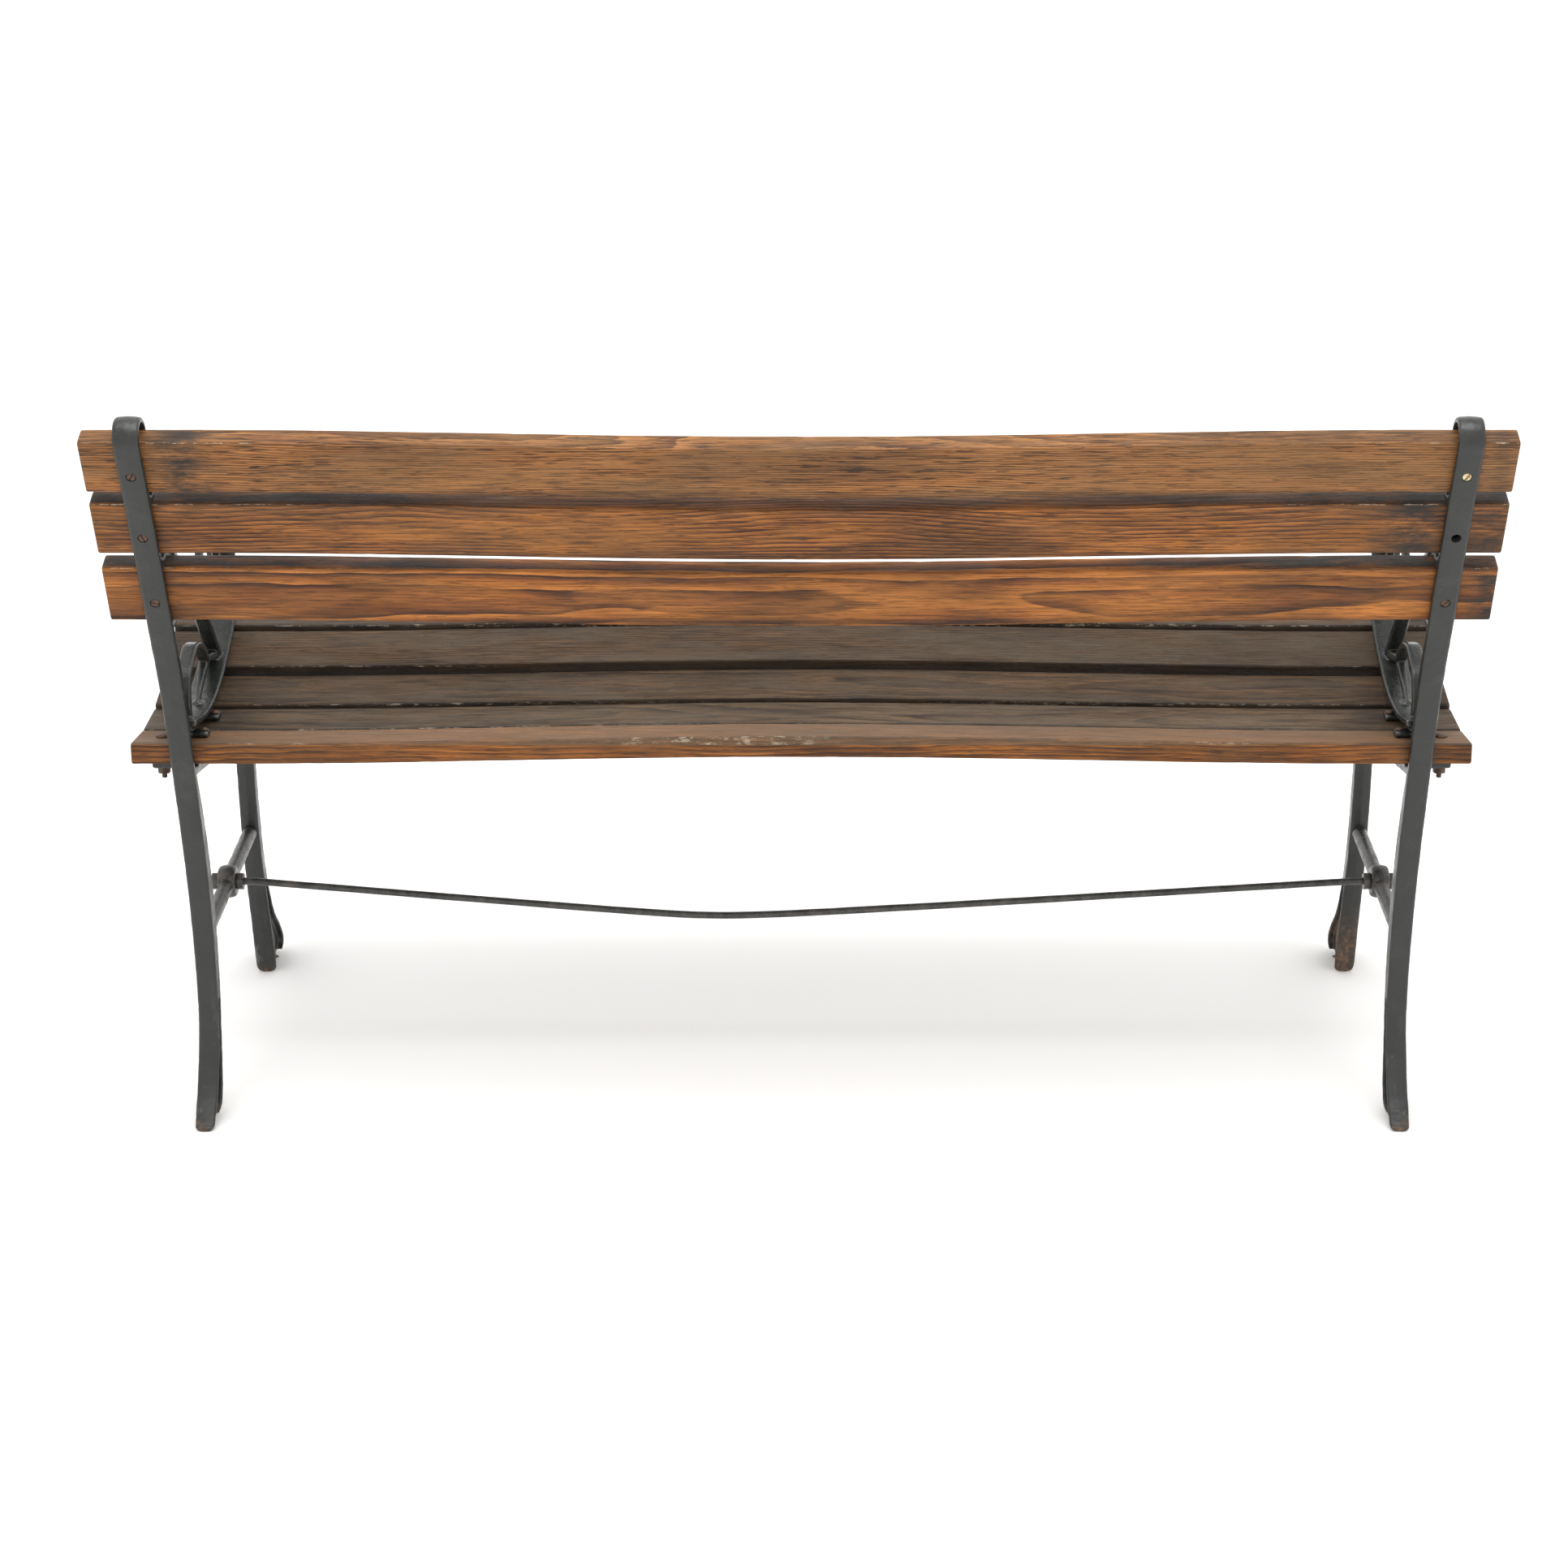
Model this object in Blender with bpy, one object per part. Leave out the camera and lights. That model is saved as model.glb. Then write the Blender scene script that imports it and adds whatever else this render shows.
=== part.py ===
"""Slatted park bench: oak slats on two cast-iron end frames, with arms and a tie rod.

Units are metres and +Z is up. The bench's length runs along X, its front faces -Y,
and the origin is on the floor under the middle of its box. Side-view outlines are
written as (forward, height): forward grows from the back of the rear foot towards
the front of the seat.
"""

import math

import bmesh
import bpy
from mathutils import Matrix, Vector

# Driving dimensions.
SEAT_LENGTH = 1.419
BACK_LENGTH = 1.4125
FRAME_X = 0.6505            # middle plane of each end frame, at the floor
SPLAY = 0.0075              # the end frames lean apart by this much for each metre of height
FORWARD_CENTRE = 0.1908     # forward value that sits at the object origin
GAP = 0.0003                # clearance between pieces that touch
FLAT_FROM = 0.615           # the slats are straight from here to their ends

SEAT_SLAT_WIDTH = 0.0605
SEAT_SLAT_THICK = 0.023
SEAT_CROWN = 0.0078         # the seat slats rise this much at mid-length
BACK_SLAT_THICK = 0.024
BACK_DIP = 0.0070           # the back slats dip this much at mid-length
SLAT_ROUND = 0.0024         # rounding along a slat's long edges

STRAP_THICK = 0.0100
CURL_RADIUS = 0.0215        # outside radius of the hook at the top of the back
HOOK_DROP = 0.002           # the hook turns from this far below the top slat's top
SCREW_DROP = 0.0040         # the back screws sit this far below the middle of their slats
LUG_THICK = 0.009
BOLT_OUTBOARD = 0.0275      # seat bolts stand this far outboard of the frame plane
BOLT_RADIUS = 0.003
BOLT_HOLE = 0.0036
NUT_FLATS = 0.012
NUT_HEIGHT = 0.007

STRETCHER_HEIGHT = 0.195
STRETCHER_RADIUS = 0.0085
TENON_RADIUS = 0.006
TENON_DEPTH = 0.006
HUB_FORWARD = 0.219
HUB_RADIUS = 0.019
HUB_HALF = 0.010
ROD_RADIUS = 0.004
ROD_HOLE = 0.0047
ROD_SAG = 0.0425
ROD_LOW_X = 0.095           # the bent rod is lowest here
ROD_SOFTNESS = 0.1          # how gradual its bend is, as a share of each run
ROD_STRAIGHT = 0.012        # length of rod inside each inner nut that is still straight
ROD_NUT_FLATS = 0.018
ROD_NUT_HEIGHT = 0.0075
ARM_INSET = 0.0175          # arm screws stand this far inboard of the frame plane
ARM_FOOT_THICK = 0.007      # the arm's feet are this thick on the seat slats

# Seat slats from the back to the front: (forward, height) of the top rear edge, and slope.
SEAT_SLATS = [
    ("seat_slat_1_rear", 0.0585, 0.4268, -8.0),
    ("seat_slat_2", 0.1210, 0.4180, 1.0),
    ("seat_slat_3", 0.1850, 0.4220, 12.0),
    ("seat_slat_4", 0.2490, 0.4430, 22.0),
    ("seat_slat_5", 0.3120, 0.4690, 4.0),
    ("seat_slat_6_front", 0.3805, 0.4710, -20.0),
]

# Back slats from the top down: forward and height of the strap's rear face behind the
# slat's middle, lean in degrees, and width.
BACK_SLATS = [
    ("back_slat_top", -0.0576, 0.7566, 19.5, 0.0608),
    ("back_slat_middle", -0.0326, 0.6858, 19.0, 0.0617),
    ("back_slat_bottom", -0.0069, 0.6085, 17.5, 0.0663),
]
MISSING_SCREW = ("back_slat_middle", "right")

# Rear upright, foot to hook: forward and height of its rear face, the depth forward
# of that face, the direction of that depth in degrees above level, and half width.
UPRIGHT = [
    (-0.0130, 0.000, 0.047, 0, 0.0108),
    (-0.0020, 0.012, 0.046, 0, 0.0112),
    (0.0170, 0.031, 0.036, 0, 0.0114),
    (0.0340, 0.055, 0.027, 0, 0.0114),
    (0.0490, 0.084, 0.021, 0, 0.0112),
    (0.0580, 0.112, 0.0205, 0, 0.0112),
    (0.0630, 0.150, 0.0230, 0, 0.0112),
    (0.0660, 0.200, 0.0240, 0, 0.0115),
    (0.0650, 0.250, 0.0240, 2, 0.0118),
    (0.0605, 0.300, 0.0225, 5, 0.0120),
    (0.0545, 0.345, 0.0190, 8, 0.0121),
    (0.0480, 0.385, 0.0140, 9, 0.0122),
    (0.0452, 0.402, 0.0102, 9, 0.0122),
    (0.0395, 0.435, 0.0110, 10, 0.0123),
    (0.0300, 0.485, 0.0125, 13, 0.0125),
    (0.0185, 0.530, 0.0115, 16, 0.0128),
]

# Front leg, from under the front slat down to the toe: forward and height of its rear
# face, with the same three values. The seat rail that leads into it follows the slats.
FRONT_LEG = [
    (0.3500, 0.4120, 0.036, 72, 0.0115),
    (0.3580, 0.4000, 0.050, 48, 0.0112),
    (0.3620, 0.3840, 0.058, 38, 0.0108),
    (0.3640, 0.3560, 0.028, 12, 0.0104),
    (0.3640, 0.3200, 0.020, 2, 0.0102),
    (0.3620, 0.2800, 0.019, 0, 0.0102),
    (0.3590, 0.2300, 0.020, 0, 0.0104),
    (0.3590, 0.1800, 0.020, 0, 0.0106),
    (0.3630, 0.1400, 0.021, 0, 0.0110),
    (0.3690, 0.1050, 0.024, 0, 0.0114),
    (0.3760, 0.0700, 0.034, 0, 0.0117),
    (0.3810, 0.0400, 0.056, 0, 0.0120),
    (0.3840, 0.0150, 0.066, 0, 0.0120),
    (0.3860, 0.0000, 0.042, 0, 0.0118),
]
RAIL_DEPTH = 0.021
RAIL_START_DEPTH = 0.013    # the rail is thinner under the rear slat
RAIL_HALF_WIDTH = 0.0110
LUG_SINK = 0.0045           # the lugs stand this far out of the rail
POCKET_TOP = 0.125          # the legs are I-shaped in section from the floor up to here
POCKET_WALL = 0.006         # thickness of the I's two flanges
WEB_HALF = 0.0045           # half thickness of the web between them

# Arm casting: points along the middle of its rim.
ARM_RIM = [
    (0.0600, 0.4490), (0.1150, 0.4370), (0.1600, 0.4350), (0.2050, 0.4410),
    (0.2500, 0.4550), (0.2950, 0.4735), (0.3220, 0.4920), (0.3330, 0.5200),
    (0.3340, 0.5580), (0.3480, 0.5930), (0.3690, 0.6210), (0.3690, 0.6440),
    (0.3480, 0.6560), (0.3000, 0.6560), (0.2200, 0.6520), (0.1300, 0.6530),
    (0.0480, 0.6600), (0.0170, 0.6620),
]
# Each bar of the tracery: its points, and its half width at its start and at its end.
ARM_TRACERY = [
    ([(0.0640, 0.4480), (0.0580, 0.4800), (0.0500, 0.5200), (0.0400, 0.5600)], 0.0045, 0.0045),
    ([(0.2500, 0.4570), (0.2330, 0.4800), (0.2120, 0.5080), (0.1850, 0.5420),
      (0.1550, 0.5720), (0.1000, 0.6150), (0.0480, 0.6550)], 0.0090, 0.0060),
    ([(0.0830, 0.4430), (0.0850, 0.4700), (0.1000, 0.4930), (0.1350, 0.5060)], 0.0075, 0.0080),
    ([(0.1350, 0.5060), (0.1600, 0.5000), (0.1850, 0.4850), (0.2000, 0.4680)], 0.0080, 0.0060),
    ([(0.2050, 0.4700), (0.1750, 0.4560), (0.1450, 0.4370)], 0.0060, 0.0020),
    ([(0.1950, 0.4720), (0.2200, 0.4660), (0.2500, 0.4580)], 0.0060, 0.0070),
    ([(0.1850, 0.5420), (0.2120, 0.5750), (0.2380, 0.6050), (0.2480, 0.6500)], 0.0045, 0.0045),
    ([(0.3330, 0.5150), (0.3120, 0.5500), (0.2850, 0.5800), (0.2600, 0.6050),
      (0.2480, 0.6500)], 0.0045, 0.0045),
    ([(0.0400, 0.5600), (0.0750, 0.5650), (0.1050, 0.5800), (0.1280, 0.5940)], 0.0045, 0.0045),
]
ARM_RIM_HALF_WIDTH = 0.0160
ARM_RIM_THICK = 0.0065
TRACERY_THICK = 0.0080

# Colours: linear red, green and blue, then roughness and metallic.
IRON_PAINT = ((0.016, 0.019, 0.018), 0.42, 0.55)
IRON_WORN = ((0.035, 0.030, 0.026), 0.55, 0.70)
OAK_BACK = ((0.200, 0.080, 0.026), 0.50, 0.0)
OAK_SEAT = ((0.125, 0.075, 0.042), 0.60, 0.0)
BOLT_STEEL = ((0.060, 0.042, 0.032), 0.60, 0.8)
BRASS = ((0.420, 0.290, 0.120), 0.40, 1.0)


def clear_scene():
    """Remove every object that the file opens with."""
    for item in list(bpy.data.objects):
        bpy.data.objects.remove(item, do_unlink=True)


def at(forward, height, x=0.0):
    """Turn a side-view place into a point in the bench's own axes."""
    return Vector((x, FORWARD_CENTRE - forward, height))


def frame_x(height):
    """How far each end frame's middle plane is from the bench's middle at one height."""
    return FRAME_X + SPLAY * height


def splayed(mesh_data):
    """Lean a mesh outwards with the end frame that it belongs to."""
    for vertex in mesh_data.vertices:
        vertex.co.x += SPLAY * vertex.co.z
    return mesh_data


def finish_object(name, mesh_data, look):
    """Put a mesh in the scene under its part's name, with its own material."""
    colour, roughness, metallic = look
    material = bpy.data.materials.new(name + "_finish")
    material.use_nodes = True
    shader = material.node_tree.nodes["Principled BSDF"]
    shader.inputs["Base Color"].default_value = (*colour, 1.0)
    shader.inputs["Roughness"].default_value = roughness
    shader.inputs["Metallic"].default_value = metallic
    mesh_data.materials.clear()
    mesh_data.materials.append(material)
    item = bpy.data.objects.new(name, mesh_data)
    bpy.context.scene.collection.objects.link(item)
    return item


def mesh_from(bm, name):
    """Close a bmesh into a mesh whose faces point out, shaded smooth where it is round."""
    bmesh.ops.recalc_face_normals(bm, faces=bm.faces[:])
    data = bpy.data.meshes.new(name)
    bm.to_mesh(data)
    bm.free()
    data.shade_smooth()
    data.set_sharp_from_angle(angle=math.radians(35))
    return data


def smooth_path(points, steps):
    """Run a Catmull-Rom curve through rows of numbers, with some steps for each span."""
    count = len(points)
    rows = []
    for i in range(count - 1):
        a = Vector(points[max(i - 1, 0)])
        b = Vector(points[i])
        c = Vector(points[i + 1])
        d = Vector(points[min(i + 2, count - 1)])
        for k in range(steps):
            t = k / steps
            rows.append(0.5 * ((2 * b) + (c - a) * t
                               + (2 * a - 5 * b + 4 * c - d) * t * t
                               + (3 * b - a - 3 * c + d) * t ** 3))
    rows.append(Vector(points[-1]))
    return rows


def skin(bm, rings):
    """Join rings of equal size into one closed tube with flat ends."""
    loops = [[bm.verts.new(point) for point in ring] for ring in rings]
    size = len(loops[0])
    for first, second in zip(loops, loops[1:]):
        for k in range(size):
            bm.faces.new((first[k], first[(k + 1) % size], second[(k + 1) % size], second[k]))
    bm.faces.new(list(reversed(loops[0])))
    bm.faces.new(loops[-1])


def band_ring(base, direction, depth, half_width, chamfer):
    """An eight-sided section: depth runs along direction from base, width along X."""
    rounded = min(chamfer, depth * 0.4, half_width * 0.4)
    corners = [
        (0.0, half_width - rounded), (rounded, half_width),
        (depth - rounded, half_width), (depth, half_width - rounded),
        (depth, rounded - half_width), (depth - rounded, -half_width),
        (rounded, -half_width), (0.0, rounded - half_width),
    ]
    ring = []
    for along, across in corners:
        point = base + direction * along
        ring.append(at(point[0], point[1], across))
    return ring


def side_direction(degrees):
    """Unit direction in the side view, in degrees above level."""
    angle = math.radians(degrees)
    return Vector((math.cos(angle), math.sin(angle)))


def loft(rows, chamfer=0.0022):
    """Closed bar through rows of forward, height, depth, direction and half width."""
    bm = bmesh.new()
    skin(bm, [band_ring(Vector(row[:2]), side_direction(row[3]), row[2], row[4], chamfer)
              for row in rows])
    return mesh_from(bm, "bar")


def band(points, start_half, end_half, thick, steps=3, chamfer=0.0016):
    """Closed band along a smooth side-view curve, its width going from one end to the other."""
    path = smooth_path(points, steps)
    last = len(path) - 1
    rings = []
    for i, point in enumerate(path):
        tangent = (path[min(i + 1, last)] - path[max(i - 1, 0)]).normalized()
        normal = Vector((-tangent[1], tangent[0]))
        half = start_half + (end_half - start_half) * i / last
        rings.append(band_ring(point - normal * (thick / 2), normal, thick, half, chamfer))
    bm = bmesh.new()
    skin(bm, rings)
    return mesh_from(bm, "band")


def turned(profile, sides, matrix, phase=0.0):
    """Closed turned piece: profile rows are radius and place along its own Z axis."""
    bm = bmesh.new()
    rings = []
    for radius, z in profile:
        ring = []
        for k in range(sides):
            angle = 2 * math.pi * k / sides + phase
            ring.append(matrix @ Vector((radius * math.cos(angle), radius * math.sin(angle), z)))
        rings.append(ring)
    skin(bm, rings)
    return mesh_from(bm, "turned")


def block(size, matrix):
    """Plain closed block, for lugs and for cutters."""
    bm = bmesh.new()
    bmesh.ops.create_cube(bm, size=1.0)
    bmesh.ops.scale(bm, vec=size, verts=bm.verts[:])
    bmesh.ops.transform(bm, matrix=matrix, verts=bm.verts[:])
    return mesh_from(bm, "block")


def combine(base, others, operation):
    """Boolean the other meshes with the first, one at a time, and return the result."""
    result = base
    for other in others:
        first = bpy.data.objects.new("first", result)
        second = bpy.data.objects.new("second", other)
        for item in (first, second):
            bpy.context.scene.collection.objects.link(item)
        step = first.modifiers.new("combine", "BOOLEAN")
        step.operation = operation
        step.solver = "EXACT"
        step.object = second
        bpy.context.view_layer.update()
        graph = bpy.context.evaluated_depsgraph_get()
        result = bpy.data.meshes.new_from_object(first.evaluated_get(graph))
        for item in (first, second):
            bpy.data.objects.remove(item, do_unlink=True)
    result.shade_smooth()
    result.set_sharp_from_angle(angle=math.radians(35))
    return result


def axes_matrix(origin, x_axis, z_axis):
    """Matrix whose local X and Z axes point the given ways."""
    z = z_axis.normalized()
    x = x_axis.normalized()
    y = z.cross(x)
    turn = Matrix((x, y, z)).transposed().to_4x4()
    return Matrix.Translation(origin) @ turn


def mirrored(mesh_data):
    """Copy of a mesh on the other side of the bench's middle."""
    bm = bmesh.new()
    bm.from_mesh(mesh_data)
    bmesh.ops.scale(bm, vec=(-1, 1, 1), verts=bm.verts[:])
    bmesh.ops.reverse_faces(bm, faces=bm.faces[:])
    return mesh_from(bm, "mirrored")


def strap_place(row):
    """Side-view point on the strap behind a back slat's middle, and the ways up and out."""
    _, forward, height, lean, _ = row
    angle = math.radians(lean)
    up = Vector((-math.sin(angle), math.cos(angle)))
    out = Vector((math.cos(angle), math.sin(angle)))
    return Vector((forward, height)), up, out


def back_screw_place(row):
    """Side-view point on the strap's rear face where a back slat's screw goes, and the way out."""
    place, up, out = strap_place(row)
    return place - up * SCREW_DROP, out


def upright_rows():
    """Rows for the rear leg, the back strap and the hook at its top."""
    rows = smooth_path(UPRIGHT, 2)
    flat_beyond = 0.002
    half_width = 0.0132
    for row in reversed(BACK_SLATS):
        place, up, _ = strap_place(row)
        reach = row[4] / 2 + flat_beyond
        for way in (-1, 1):
            point = place + up * (reach * way)
            rows.append(Vector((point[0], point[1], STRAP_THICK, row[3], half_width)))
    rows.pop()
    place, up, out = strap_place(BACK_SLATS[0])
    lean = BACK_SLATS[0][3]
    centre = place + up * (BACK_SLATS[0][4] / 2 - HOOK_DROP) + out * CURL_RADIUS
    end_turn = 192
    turns = 11
    for k in range(turns + 1):
        angle = end_turn * k / turns
        direction = side_direction(lean - angle)
        point = centre - direction * CURL_RADIUS
        depth = 0.0085 - 0.0020 * k / turns
        rows.append(Vector((point[0], point[1], depth, lean - angle, half_width)))
    return rows


def seat_slat_frame(forward, height, slope):
    """Side-view rear top edge, direction forward along the slat, and direction up out of it."""
    tilt = math.radians(slope)
    along = Vector((math.cos(tilt), math.sin(tilt)))
    out = Vector((-math.sin(tilt), math.cos(tilt)))
    return Vector((forward, height)), along, out


def seat_bolt_place(forward, height, slope):
    """Side-view point on a seat slat's top where its bolts go through, and the way up."""
    corner, along, out = seat_slat_frame(forward, height, slope)
    return corner + along * (SEAT_SLAT_WIDTH / 2), out


def side_axis(direction):
    """Side-view direction as a direction in the bench's own axes."""
    return Vector((0.0, -direction[0], direction[1]))


def slat_bend(x, amount):
    """Bend of a slat at one place along it: nothing near its ends, most at the middle."""
    if abs(x) >= FLAT_FROM:
        return 0.0
    return amount * math.cos(math.pi * x / (2 * FLAT_FROM)) ** 2


def slat(length, corner, along, out, width, thick, bend, bend_way):
    """Slat whose section starts at a side-view corner; it bends a little between the frames."""
    rounded = SLAT_ROUND
    outline = [
        (rounded, 0.0), (width - rounded, 0.0), (width, -rounded), (width, rounded - thick),
        (width - rounded, -thick), (rounded, -thick), (0.0, rounded - thick), (0.0, -rounded),
    ]
    spans = 10
    places = [-length / 2]
    places += [FLAT_FROM * (2 * k / spans - 1) for k in range(spans + 1)]
    places.append(length / 2)
    rings = []
    for x in places:
        shift = bend_way * slat_bend(x, bend)
        ring = []
        for a, b in outline:
            point = corner + along * a + out * b + shift
            ring.append(at(point[0], point[1], x))
        rings.append(ring)
    bm = bmesh.new()
    skin(bm, rings)
    return mesh_from(bm, "slat")


def seat_lug(forward, height, slope):
    """Lug of the seat rail under one slat, from the rail out past the bolt."""
    top, out = seat_bolt_place(forward, height, slope)
    inboard = 0.012
    outboard = BOLT_OUTBOARD + 0.0105
    place = top - out * (SEAT_SLAT_THICK + GAP + LUG_THICK / 2)
    matrix = axes_matrix(at(place[0], place[1], (outboard - inboard) / 2),
                         Vector((1, 0, 0)), side_axis(out))
    return block((inboard + outboard, 0.026, LUG_THICK), matrix)


def spacer_lug(upper, lower):
    """Small stop on the strap's front that keeps two back slats apart."""
    high, high_up, _ = strap_place(upper)
    low, low_up, out = strap_place(lower)
    top_edge = low + low_up * (lower[4] / 2)
    bottom_edge = high - high_up * (upper[4] / 2)
    place = (top_edge + bottom_edge) / 2 + out * (STRAP_THICK + 0.003)
    matrix = axes_matrix(at(place[0], place[1], -0.002), Vector((1, 0, 0)), side_axis(low_up))
    return block((0.026, 0.014, 0.009), matrix)


def cylinder_through(place, way, radius, back, front, x=0.0, sides=12):
    """Round cutter along a side-view direction, from back behind a place to front past it."""
    matrix = axes_matrix(at(place[0], place[1], x), Vector((1, 0, 0)), side_axis(way))
    return turned([(radius, -back), (radius, front)], sides, matrix)


def screw_seat(row):
    """Countersunk hole through the strap for one back screw."""
    place, out = back_screw_place(row)
    matrix = axes_matrix(at(place[0], place[1]), Vector((1, 0, 0)), side_axis(out))
    profile = [(0.0051, -0.002), (0.0051, 0.0012), (0.0029, 0.0040), (0.0029, 0.014)]
    return turned(profile, 12, matrix)


def rail_and_leg_rows():
    """Rows for the seat rail, which follows the slats' undersides, and the front leg."""
    rows = [(0.0560, 0.3880, 0.012, 82, RAIL_HALF_WIDTH)]
    for row in SEAT_SLATS[:-1]:
        depth = RAIL_START_DEPTH if row is SEAT_SLATS[0] else RAIL_DEPTH
        top, out = seat_bolt_place(*row[1:])
        base = top - out * (SEAT_SLAT_THICK + LUG_SINK + depth)
        rows.append((base[0], base[1], depth, 90 + row[3], RAIL_HALF_WIDTH))
    return smooth_path(rows[:-1] + FRONT_LEG, 2)


def end_frame_mesh():
    """Cast end: rear leg, back strap with hook, seat rail with lugs and front leg."""
    body = loft(upright_rows())
    additions = [loft(rail_and_leg_rows())]
    additions += [seat_lug(*row[1:]) for row in SEAT_SLATS]
    additions += [spacer_lug(upper, lower) for upper, lower in zip(BACK_SLATS, BACK_SLATS[1:])]
    body = combine(body, additions, "UNION")
    cuts = []
    for row in SEAT_SLATS:
        top, out = seat_bolt_place(*row[1:])
        cuts.append(cylinder_through(top, out, BOLT_HOLE, 0.060, 0.005, BOLT_OUTBOARD, 10))
    cuts += [screw_seat(row) for row in BACK_SLATS]
    cuts += foot_pockets(smooth_path(UPRIGHT, 2)) + foot_pockets(smooth_path(FRONT_LEG, 2))
    level = Vector((1.0, 0.0))
    rear_face, front_face = stretcher_faces()
    for face in (rear_face, front_face):
        place = Vector((face, STRETCHER_HEIGHT))
        depth = TENON_DEPTH + GAP
        cuts.append(cylinder_through(place, level, TENON_RADIUS + 0.0005, depth, depth))
    return splayed(combine(body, cuts, "DIFFERENCE"))


def foot_pockets(rows):
    """Cutters for the hollows on both sides of the web in one flared foot."""
    low = [row for row in rows if row[1] <= POCKET_TOP]
    low.sort(key=lambda row: row[1])
    wide = 0.012
    inner = []
    for row in low:
        start = Vector(row[:2]) + side_direction(row[3]) * POCKET_WALL
        inner.append((start[0], start[1], row[2] - 2 * POCKET_WALL, row[3], wide))
    first = inner[0]
    below_floor = 0.004
    inner.insert(0, (first[0], -below_floor, first[2], first[3], wide))
    cutters = []
    for way in (-1, 1):
        cutter = loft(inner, 0.0)
        cutter.transform(Matrix.Translation((way * (WEB_HALF + wide), 0.0, 0.0)))
        cutters.append(cutter)
    return cutters


def stretcher_faces():
    """Forward places of the rear leg's front face and the front leg's rear face."""
    return 0.0897, 0.3590


def stretcher_mesh():
    """Round side stretcher with a tenon at each end and a hub for the tie rod."""
    rear_face, front_face = stretcher_faces()
    shoulder = 0.0012
    profile = [
        (TENON_RADIUS, rear_face - TENON_DEPTH), (TENON_RADIUS, rear_face + shoulder),
        (STRETCHER_RADIUS, rear_face + shoulder), (STRETCHER_RADIUS, front_face - shoulder),
        (TENON_RADIUS, front_face - shoulder), (TENON_RADIUS, front_face + TENON_DEPTH),
    ]
    forward_axis = axes_matrix(at(0.0, STRETCHER_HEIGHT), Vector((1, 0, 0)), Vector((0, -1, 0)))
    bar = turned(profile, 12, forward_axis)
    crown = 0.003
    hub_profile = [
        (HUB_RADIUS - crown, -HUB_HALF), (HUB_RADIUS, crown - HUB_HALF),
        (HUB_RADIUS, HUB_HALF - crown), (HUB_RADIUS - crown, HUB_HALF),
    ]
    hub_axis = axes_matrix(at(HUB_FORWARD, STRETCHER_HEIGHT), Vector((0, 0, 1)), Vector((1, 0, 0)))
    hub = turned(hub_profile, 20, hub_axis)
    bore = turned([(ROD_HOLE, -HUB_HALF * 2), (ROD_HOLE, HUB_HALF * 2)], 12, hub_axis)
    return combine(combine(bar, [hub], "UNION"), [bore], "DIFFERENCE")


def arm_lug(forward, height, slope):
    """Foot of the arm that lies on a seat slat, with room for its screw."""
    top, out = seat_bolt_place(forward, height, slope)
    place = top + out * (GAP + ARM_FOOT_THICK / 2)
    matrix = axes_matrix(at(place[0], place[1], -0.0130), Vector((1, 0, 0)), side_axis(out))
    return block((0.0195, 0.018, ARM_FOOT_THICK), matrix)


def arm_web(forward, height, slope):
    """Short upright web that joins the arm's rim to its foot."""
    top, out = seat_bolt_place(forward, height, slope)
    tall = 0.020
    place = top + out * (0.002 + tall / 2)
    matrix = axes_matrix(at(place[0], place[1], 0.0), Vector((1, 0, 0)), side_axis(out))
    return block((0.012, 0.014, tall), matrix)


def arm_mesh():
    """Cast openwork arm: a flanged rim with pointed-arch tracery inside it."""
    rim = band(ARM_RIM, ARM_RIM_HALF_WIDTH, ARM_RIM_HALF_WIDTH, ARM_RIM_THICK, 2)
    parts = [band(points, start, end, TRACERY_THICK) for points, start, end in ARM_TRACERY]
    for row in SEAT_SLATS[:2]:
        parts.append(arm_web(*row[1:]))
        parts.append(arm_lug(*row[1:]))
    body = combine(rim, parts, "UNION")
    cuts = []
    for row in SEAT_SLATS[:2]:
        top, out = seat_bolt_place(*row[1:])
        cuts.append(cylinder_through(top, out, 0.0026, 0.002, ARM_FOOT_THICK + 0.0006, -ARM_INSET, 10))
    return splayed(combine(body, cuts, "DIFFERENCE"))


def seat_slat_mesh(index):
    """Seat slat with its bolt holes, and pilot holes where the arms are screwed down."""
    _, forward, height, slope = SEAT_SLATS[index]
    corner, along, out = seat_slat_frame(forward, height, slope)
    body = slat(SEAT_LENGTH, corner, along, out, SEAT_SLAT_WIDTH, SEAT_SLAT_THICK,
                SEAT_CROWN, Vector((0.0, 1.0)))
    top, _ = seat_bolt_place(forward, height, slope)
    cuts = []
    for side in (-1, 1):
        x = side * (frame_x(height) + BOLT_OUTBOARD)
        cuts.append(cylinder_through(top, out, BOLT_HOLE, 0.040, 0.010, x, 10))
        if index < 2:
            pilot_x = side * (frame_x(height) - ARM_INSET)
            cuts.append(cylinder_through(top, out, 0.0022, 0.0145, 0.010, pilot_x, 8))
    return combine(body, cuts, "DIFFERENCE")


def back_slat_mesh(row):
    """Back slat with the pilot holes that the strap's screws bite into."""
    place, up, out = strap_place(row)
    width = row[4]
    rear = place + out * (STRAP_THICK + GAP)
    corner = rear - up * (width / 2) + out * BACK_SLAT_THICK
    body = slat(BACK_LENGTH, corner, up, out, width, BACK_SLAT_THICK,
                BACK_DIP, Vector((0.0, -1.0)))
    hole = rear - up * SCREW_DROP
    cuts = [cylinder_through(hole, out, 0.0027, 0.004, 0.0160, side * frame_x(row[2]), 8)
            for side in (-1, 1)]
    return combine(body, cuts, "DIFFERENCE")


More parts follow.
